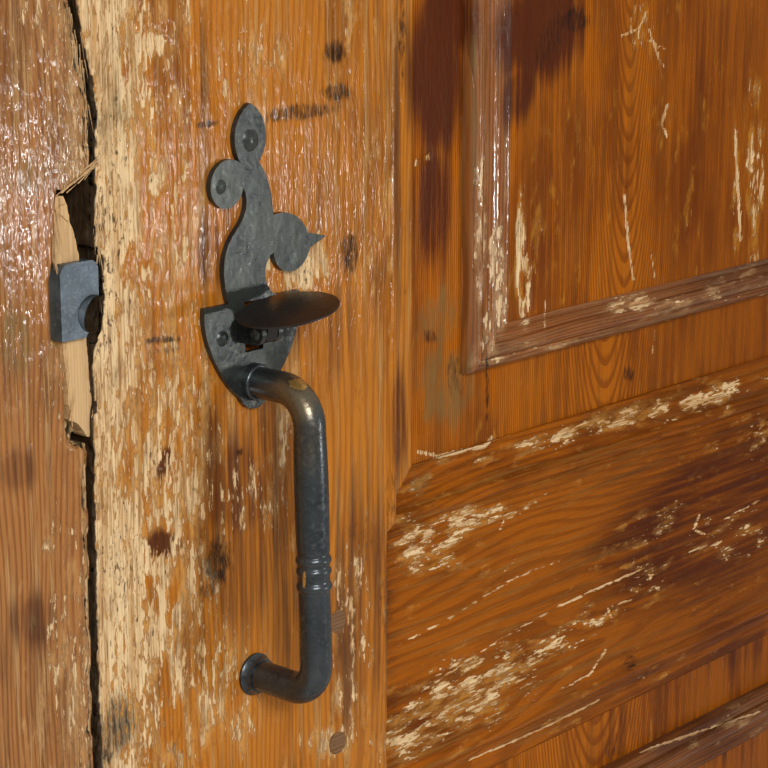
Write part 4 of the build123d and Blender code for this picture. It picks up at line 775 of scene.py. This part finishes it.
def forge(node):
    """A copy of an iron node with smooth faces, and rounded edges where ROUNDED_MM lists the node."""
    bm = merged(node)
    if node == "pull_handle":
        low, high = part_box(node)
        slice_faces(bm, list(bm.faces), 2, steps(low.z, high.z, 1.2 * MM)[1:-1])
    pixels = photo_place(np.array([v.co for v in bm.verts]))
    fields = {"brass": ellipse_field(pixels, BRASS_MARKS), "polish_and_highlight": ellipse_field(pixels, POLISH_AND_HIGHLIGHT_MARKS)}
    piece = keep(bm, "forged_" + node, node, fields if node == "pull_handle" else None)
    if node in ROUNDED_MM:
        bevel = piece.modifiers.new("worn edges", "BEVEL")
        bevel.width = ROUNDED_MM[node] * MM
        bevel.segments, bevel.limit_method, bevel.angle_limit = 2, "ANGLE", SHARP
        bevel.harden_normals = True
    return piece


for node, finish in IRON_FINISH.items():
    give(forge(node), iron[finish])
print("iron pieces:", len(IRON_FINISH))

# %% [markdown]
# ## Forged nails
# The nails of the hinges and pintles are rose heads: the smith flattens the hot end with four or five
# slanting blows, and no two heads are alike. They repeat, so Geometry Nodes puts one low facetted head and
# its shank at each nail's place, turned and sized at random from a fixed seed. The places come from the
# frame's own nails.

# %% Rose-head nails by Geometry Nodes
def nail_places(node):
    """The box of each separate nail in a node, sorted, so that the nails are alike on each run."""
    bm = merged(node)
    left, boxes = set(bm.verts), []
    while left:
        nail, edge = set(), [left.pop()]
        while edge:
            v = edge.pop()
            nail.add(v)
            near = [e.other_vert(v) for e in v.link_edges]
            edge += [n for n in near if n in left]
            left -= set(near)
        cos = np.array([v.co for v in nail])
        boxes.append((cos.min(axis=0), cos.max(axis=0)))
    bm.free()
    return sorted(boxes, key=lambda box: tuple(box[0]))


def geometry_tree(name, sizes):
    """A Geometry Nodes tree with a geometry, sizes in metres and a seed as its inputs."""
    tree = bpy.data.node_groups.new(name, "GeometryNodeTree")
    for key, kind in (("Geometry", "Geometry"), *((size, "Float") for size in sizes), ("Seed", "Int")):
        tree.interface.new_socket(key, in_out="INPUT", socket_type="NodeSocket" + kind)
    tree.interface.new_socket("Geometry", in_out="OUTPUT", socket_type="NodeSocketGeometry")
    return tree, tree.nodes.new("NodeGroupInput").outputs


NAIL_SIZES = ("Head Width", "Head Height", "Shank Width", "Shank Length")


def shifted(tree, shape, height, share):
    """A shape moved along Z by a share of a height."""
    far = add(tree, "ShaderNodeMath", {0: height, 1: share}, operation="MULTIPLY")
    far = add(tree, "ShaderNodeCombineXYZ", {2: far})
    return add(tree, "GeometryNodeTransform", {0: shape, "Translation": far})


def rose_head_tree(material):
    """A tree that puts a facetted head and a shank at each point, looking along its facing attribute."""
    tree, given = geometry_tree("rose_head_nails", NAIL_SIZES)
    half = add(tree, "ShaderNodeMath", {0: given["Head Width"], 1: 0.5}, operation="MULTIPLY")
    top = add(tree, "ShaderNodeMath", {0: given["Head Width"], 1: 0.2}, operation="MULTIPLY")
    rim_high = add(tree, "ShaderNodeMath", {0: given["Head Height"], 1: 0.3}, operation="MULTIPLY")
    rim = add(tree, "GeometryNodeMeshCylinder", {"Vertices": 10, "Radius": half, "Depth": rim_high})
    rim = shifted(tree, rim, rim_high, 0.5)
    cone_high = add(tree, "ShaderNodeMath", {0: given["Head Height"], 1: rim_high}, operation="SUBTRACT")
    head = add(tree, "GeometryNodeMeshCone", {"Vertices": 5, "Radius Bottom": half, "Radius Top": top,
                                              "Depth": cone_high})
    head = shifted(tree, head, rim_high, 1.0)
    shank_half = add(tree, "ShaderNodeMath", {0: given["Shank Width"], 1: 0.5}, operation="MULTIPLY")
    shank = add(tree, "GeometryNodeMeshCylinder", {"Vertices": 8, "Radius": shank_half,
                                                   "Depth": given["Shank Length"]})
    shank = shifted(tree, shank, given["Shank Length"], -0.5)
    nail = tree.nodes.new("GeometryNodeJoinGeometry")
    for part in (shank, head, rim):
        tree.links.new(part, nail.inputs[0])
    facing = add(tree, "GeometryNodeInputNamedAttribute", {"Name": "facing"}, data_type="FLOAT_VECTOR")
    aim = add(tree, "FunctionNodeAlignRotationToVector", {"Vector": facing}, axis="Z")
    turn = add(tree, "FunctionNodeRandomValue", {"Max": math.tau, "Seed": given["Seed"]}, out=1,
               data_type="FLOAT")
    spin = add(tree, "FunctionNodeAxisAngleToRotation", {"Axis": (0, 0, 1), "Angle": turn})
    aim = add(tree, "FunctionNodeRotateRotation", {"Rotation": aim, "Rotate By": spin},
              rotation_space="LOCAL")
    size = add(tree, "FunctionNodeRandomValue", {2: 0.86, 3: 1.0, "Seed": given["Seed"]}, out=1,
               data_type="FLOAT")
    nails = add(tree, "GeometryNodeInstanceOnPoints", {
        "Points": given["Geometry"], "Instance": nail.outputs[0], "Rotation": aim, "Scale": size})
    nails = add(tree, "GeometryNodeRealizeInstances", {0: nails})
    nails = add(tree, "GeometryNodeSetMaterial", {0: nails, "Material": material})
    tree.links.new(nails, tree.nodes.new("NodeGroupOutput").inputs[0])
    return tree


def grown(tree, points, facing, name, settings):
    """Runs a tree on points and returns its result as a plain mesh object at the origin."""
    mesh = bpy.data.meshes.new(name)
    mesh.from_pydata([tuple(p) for p in points], [], [])
    mesh.attributes.new("facing", "FLOAT_VECTOR", "POINT").data.foreach_set("vector", np.ravel(facing))
    piece = place_object(name, mesh)
    modifier = piece.modifiers.new(name, "NODES")
    modifier.node_group = tree
    sockets = {s.name: s.identifier for s in tree.interface.items_tree if s.in_out == "INPUT"}
    for key, value in settings.items():
        modifier[sockets[key]] = value
    seen = piece.evaluated_get(bpy.context.evaluated_depsgraph_get())
    made = bpy.data.meshes.new_from_object(seen)
    piece.modifiers.remove(modifier)
    piece.data = made
    made.name = name
    return piece


nail_tree = rose_head_tree(iron["forged"])
# Node: head width, head height, shank width and shank length in mm
ROSE_HEADS = {"strap_nails": (12.0, 2.6, 5.2, 30.0), "pintle_nails": (11.0, 2.4, 5.2, 30.0)}
for seed, (node, sizes) in enumerate(ROSE_HEADS.items()):
    boxes = nail_places(node)
    under_head = [((low[0] + high[0]) / 2, high[1] - sizes[1] * MM, (low[2] + high[2]) / 2)
                  for low, high in boxes]
    inputs = dict(zip(NAIL_SIZES, (v * MM for v in sizes)))
    piece = grown(nail_tree, under_head, [(0, 1, 0)] * len(boxes), "forged_" + node,
                  {**inputs, "Seed": seed})
    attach(piece, body_of_node[node])
    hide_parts(node)
    pieces[node] = piece
    print(node, len(boxes), "nails,", len(piece.data.polygons), "faces")

# %% [markdown]
# ## Splinters
# Pine breaks in long splinters. The jamb was torn open above the keeper, and both meeting edges fray.
# One thin pointed splinter, put at many places with its own lean, length and width, is work for Geometry
# Nodes.
# Each body has its own mesh, so that the splinters of the leaf swing with it.

# %% Splinters by Geometry Nodes
def splinter_tree(material):
    """A tree that puts a thin, pointed splinter at each point, along its facing attribute."""
    tree, given = geometry_tree("splinters", ("Length", "Width", "Spread"))
    splinter = add(tree, "GeometryNodeMeshCone", {"Vertices": 5, "Side Segments": 4, "Radius Top": 0.06,
                                                  "Radius Bottom": 0.5, "Depth": 1.0})
    facing = add(tree, "GeometryNodeInputNamedAttribute", {"Name": "facing"}, data_type="FLOAT_VECTOR")
    aim = add(tree, "FunctionNodeAlignRotationToVector", {"Vector": facing}, axis="Z")
    least = add(tree, "ShaderNodeMath", {0: given["Spread"], 1: -1.0}, operation="MULTIPLY")
    lean = add(tree, "FunctionNodeRandomValue", {0: add(tree, "ShaderNodeCombineXYZ", {0: least, 1: least}),
               1: add(tree, "ShaderNodeCombineXYZ", {0: given["Spread"], 1: given["Spread"]}),
               "Seed": given["Seed"]}, data_type="FLOAT_VECTOR")
    lean = add(tree, "FunctionNodeEulerToRotation", {0: lean})
    aim = add(tree, "FunctionNodeRotateRotation", {"Rotation": aim, "Rotate By": lean},
              rotation_space="LOCAL")
    full = add(tree, "ShaderNodeCombineXYZ", {0: given["Width"], 1: given["Width"], 2: given["Length"]})
    share = add(tree, "FunctionNodeRandomValue", {
        0: (0.35, 0.35, 0.3), 1: (1, 0.8, 1), "Seed": given["Seed"]}, data_type="FLOAT_VECTOR")
    size = add(tree, "ShaderNodeVectorMath", {0: full, 1: share}, operation="MULTIPLY")
    many = add(tree, "GeometryNodeInstanceOnPoints", {"Points": given["Geometry"], "Instance": splinter,
                                                      "Rotation": aim, "Scale": size})
    many = add(tree, "GeometryNodeRealizeInstances", {0: many})
    many = add(tree, "GeometryNodeSetMaterial", {0: many, "Material": material})
    tree.links.new(many, tree.nodes.new("NodeGroupOutput").inputs[0])
    return tree


# Body: lines in the photograph's pixels, how many splinters on each, their direction, how deep they start
FRAYS = {
    "frame": [
        ([(92, 166), (76, 182), (58, 196)], 26, (0.75, -0.05, 0.5), 0.6),
        ([(56, 200), (54, 262)], 22, (0.1, -0.06, -1), 0.8),
        ([(70, 5), (80, 60), (90, 150)], 26, (0.02, -0.05, -1), 0.8),
        ([(64, 345), (72, 430)], 14, (0.05, -0.04, 1), 1.5),
    ],
    "leaf": [
        ([(102, 60), (106, 160)], 22, (0.03, -0.04, 1), 1.0),
        ([(101, 190), (100, 255)], 16, (0, -0.05, -1), 1.0),
        ([(104, 330), (102, 470)], 26, (0, -0.05, 1), 1.0),
        ([(103, 480), (106, 640)], 30, (0, -0.05, -1), 1.0),
    ],
}
fray_tree = splinter_tree(pine["torn"])
for seed, (body, lines) in enumerate(FRAYS.items()):
    chance = np.random.default_rng(5 + seed)
    spots, ways = [], []
    for line, count, way, deep in lines:
        line = np.array(line, float)
        for t in chance.uniform(0, len(line) - 1.001, count):
            spot = line[int(t)] + (t % 1) * (line[int(t) + 1] - line[int(t)]) + chance.normal(0, 2.0, 2)
            spots.append(on_door(float(spot[0]), float(spot[1]), FACE_Y + deep * MM))
            ways.append(way)
    piece = grown(fray_tree, spots, ways, "splinters_" + body, {
        "Length": 15 * MM, "Width": 0.9 * MM, "Spread": 0.16, "Seed": seed})
    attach(piece, body)
    print("splinters on the", body, len(spots))

# %% [markdown]
# ## The torn bed of the keeper
# Where the jamb's edge was wrenched off, clean pale wood shows beside the keeper, in long steps along the
# grain. Each strip is a thin plate whose outline was noted in pixels of the photograph, made in bmesh: the
# outline is laid on the door at its depth, cut into short steps, and given a thickness into the wood.

# %% Strips of torn wood
# Outline in pixels of the photograph, depth of its face behind the door's front, and thickness, in mm
TORN = {
    "upper": ([(53, 197), (63, 196), (67, 206), (70, 222), (76, 240), (80, 264), (55, 264)], 2.2, 9.0),
    "flap": ([(55, 210), (66, 204), (69, 222)], 1.2, 1.2),
    "lower": ([(62, 336), (86, 336), (89, 372), (92, 404), (95, 434), (88, 437), (78, 424), (71, 420),
               (66, 380)], 2.0, 9.0),
}


def torn_strips():
    bm = bmesh.new()
    for outline, deep, thick in TORN.values():
        line = []
        for (a, d), (next_a, next_d) in zip(outline, outline[1:] + outline[:1]):
            count = max(1, round(math.hypot(next_a - a, next_d - d) / 3))
            line += [(a + (next_a - a) * k / count, d + (next_d - d) * k / count) for k in range(count)]
        front = []
        for a, d in line:
            spot = on_door(a, d, FACE_Y + deep * MM)
            jag = noise.noise(spot * 400) * 0.7 * MM
            front.append(bm.verts.new(spot + Vector((jag, 0.3 * jag, 0))))
        back = [bm.verts.new(v.co + Vector((0, thick * MM, 0))) for v in front]
        bm.faces.new(front)
        bm.faces.new(back[::-1])
        for k in range(len(front)):
            bm.faces.new((front[k], back[k], back[k - 1], front[k - 1]))
    bmesh.ops.recalc_face_normals(bm, faces=bm.faces)
    bmesh.ops.triangulate(bm, faces=[f for f in bm.faces if len(f.verts) > 4])
    mesh = bpy.data.meshes.new("torn_strips")
    bm.to_mesh(mesh)
    bm.free()
    piece = place_object("torn_strips", mesh)
    give(piece, pine["torn"])
    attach(piece, "frame")
    return piece


print("torn strips:", len(torn_strips().data.polygons), "faces")

# %% [markdown]
# ## Floor and light
# A pale floor carries the door. One wide soft lamp stands far in front, so that the whole door is lit alike,
# a nearer one stands over the viewer's shoulder, and a small low one on the right is what the varnish
# mirrors, as the bright window did in front of the real door. A last one lights the back.

# %% Floor, world and lamps
PAPER = linear("#E8E6E2")
world = bpy.data.worlds.new("studio")
world.use_nodes = True
air = world.node_tree.nodes["Background"]
air.inputs["Color"].default_value = PAPER
scene.world = world


def seen_share(tree):
    """1 for what the camera sees directly, mirrored or through glass, and 0 for light on the object."""
    path = add(tree, "ShaderNodeLightPath").node.outputs
    seen = add(tree, "ShaderNodeMath", {0: path["Is Camera Ray"], 1: path["Is Glossy Ray"]},
               operation="MAXIMUM")
    return add(tree, "ShaderNodeMath", {0: seen, 1: path["Is Transmission Ray"]}, operation="MAXIMUM")


strength = add(world.node_tree, "ShaderNodeMapRange", {"Value": seen_share(world.node_tree), "To Min": 0.28,
                                                       "To Max": 0.72})
world.node_tree.links.new(strength, air.inputs["Strength"])

floor_mesh = bpy.data.meshes.new("floor")
FLOOR_HALF = 25.0
floor_corners = [(x * FLOOR_HALF, y * FLOOR_HALF, 0) for x, y in ((-1, -1), (1, -1), (1, 1), (-1, 1))]
floor_mesh.from_pydata(floor_corners, [], [(0, 1, 2, 3)])
floor = place_object("floor", floor_mesh)
paper, paper_tree, matt = new_material("matt_floor")
matt.inputs["Base Color"].default_value = PAPER
matt.inputs["Roughness"].default_value = 0.9
matt.inputs["Emission Color"].default_value = PAPER
only_seen = add(paper_tree, "ShaderNodeLightPath")
only_seen = add(paper_tree, "ShaderNodeMath", {0: only_seen, 1: 0.3}, operation="MULTIPLY")
paper_tree.links.new(only_seen, matt.inputs["Emission Strength"])
give(floor, paper)


def lamp(name, place, aim, watts, side):
    """A square soft lamp that faces a point."""
    data = bpy.data.lights.new(name, "AREA")
    data.energy, data.size = watts, side
    body = place_object(name, data)
    body.location = place
    body.rotation_euler = (Vector(aim) - Vector(place)).to_track_quat("-Z", "Y").to_euler()


handle_place = tuple((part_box("pull_handle")[0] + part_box("pull_handle")[1]) / 2)
lamp("key", (-2.0, -3.2, 2.8), (-0.2, 0, 1.0), 80, 0.9)
lamp("shoulder", (-1.5, -1.3, 1.7), handle_place, 8, 0.35)
lamp("window", (0.48, -1.35, 0.92), (-0.57, 0, 1.1), 4.5, 0.09)
lamp("back_fill", (1.6, 3.2, 2.6), (0, 0, 1.2), 90, 1.5)
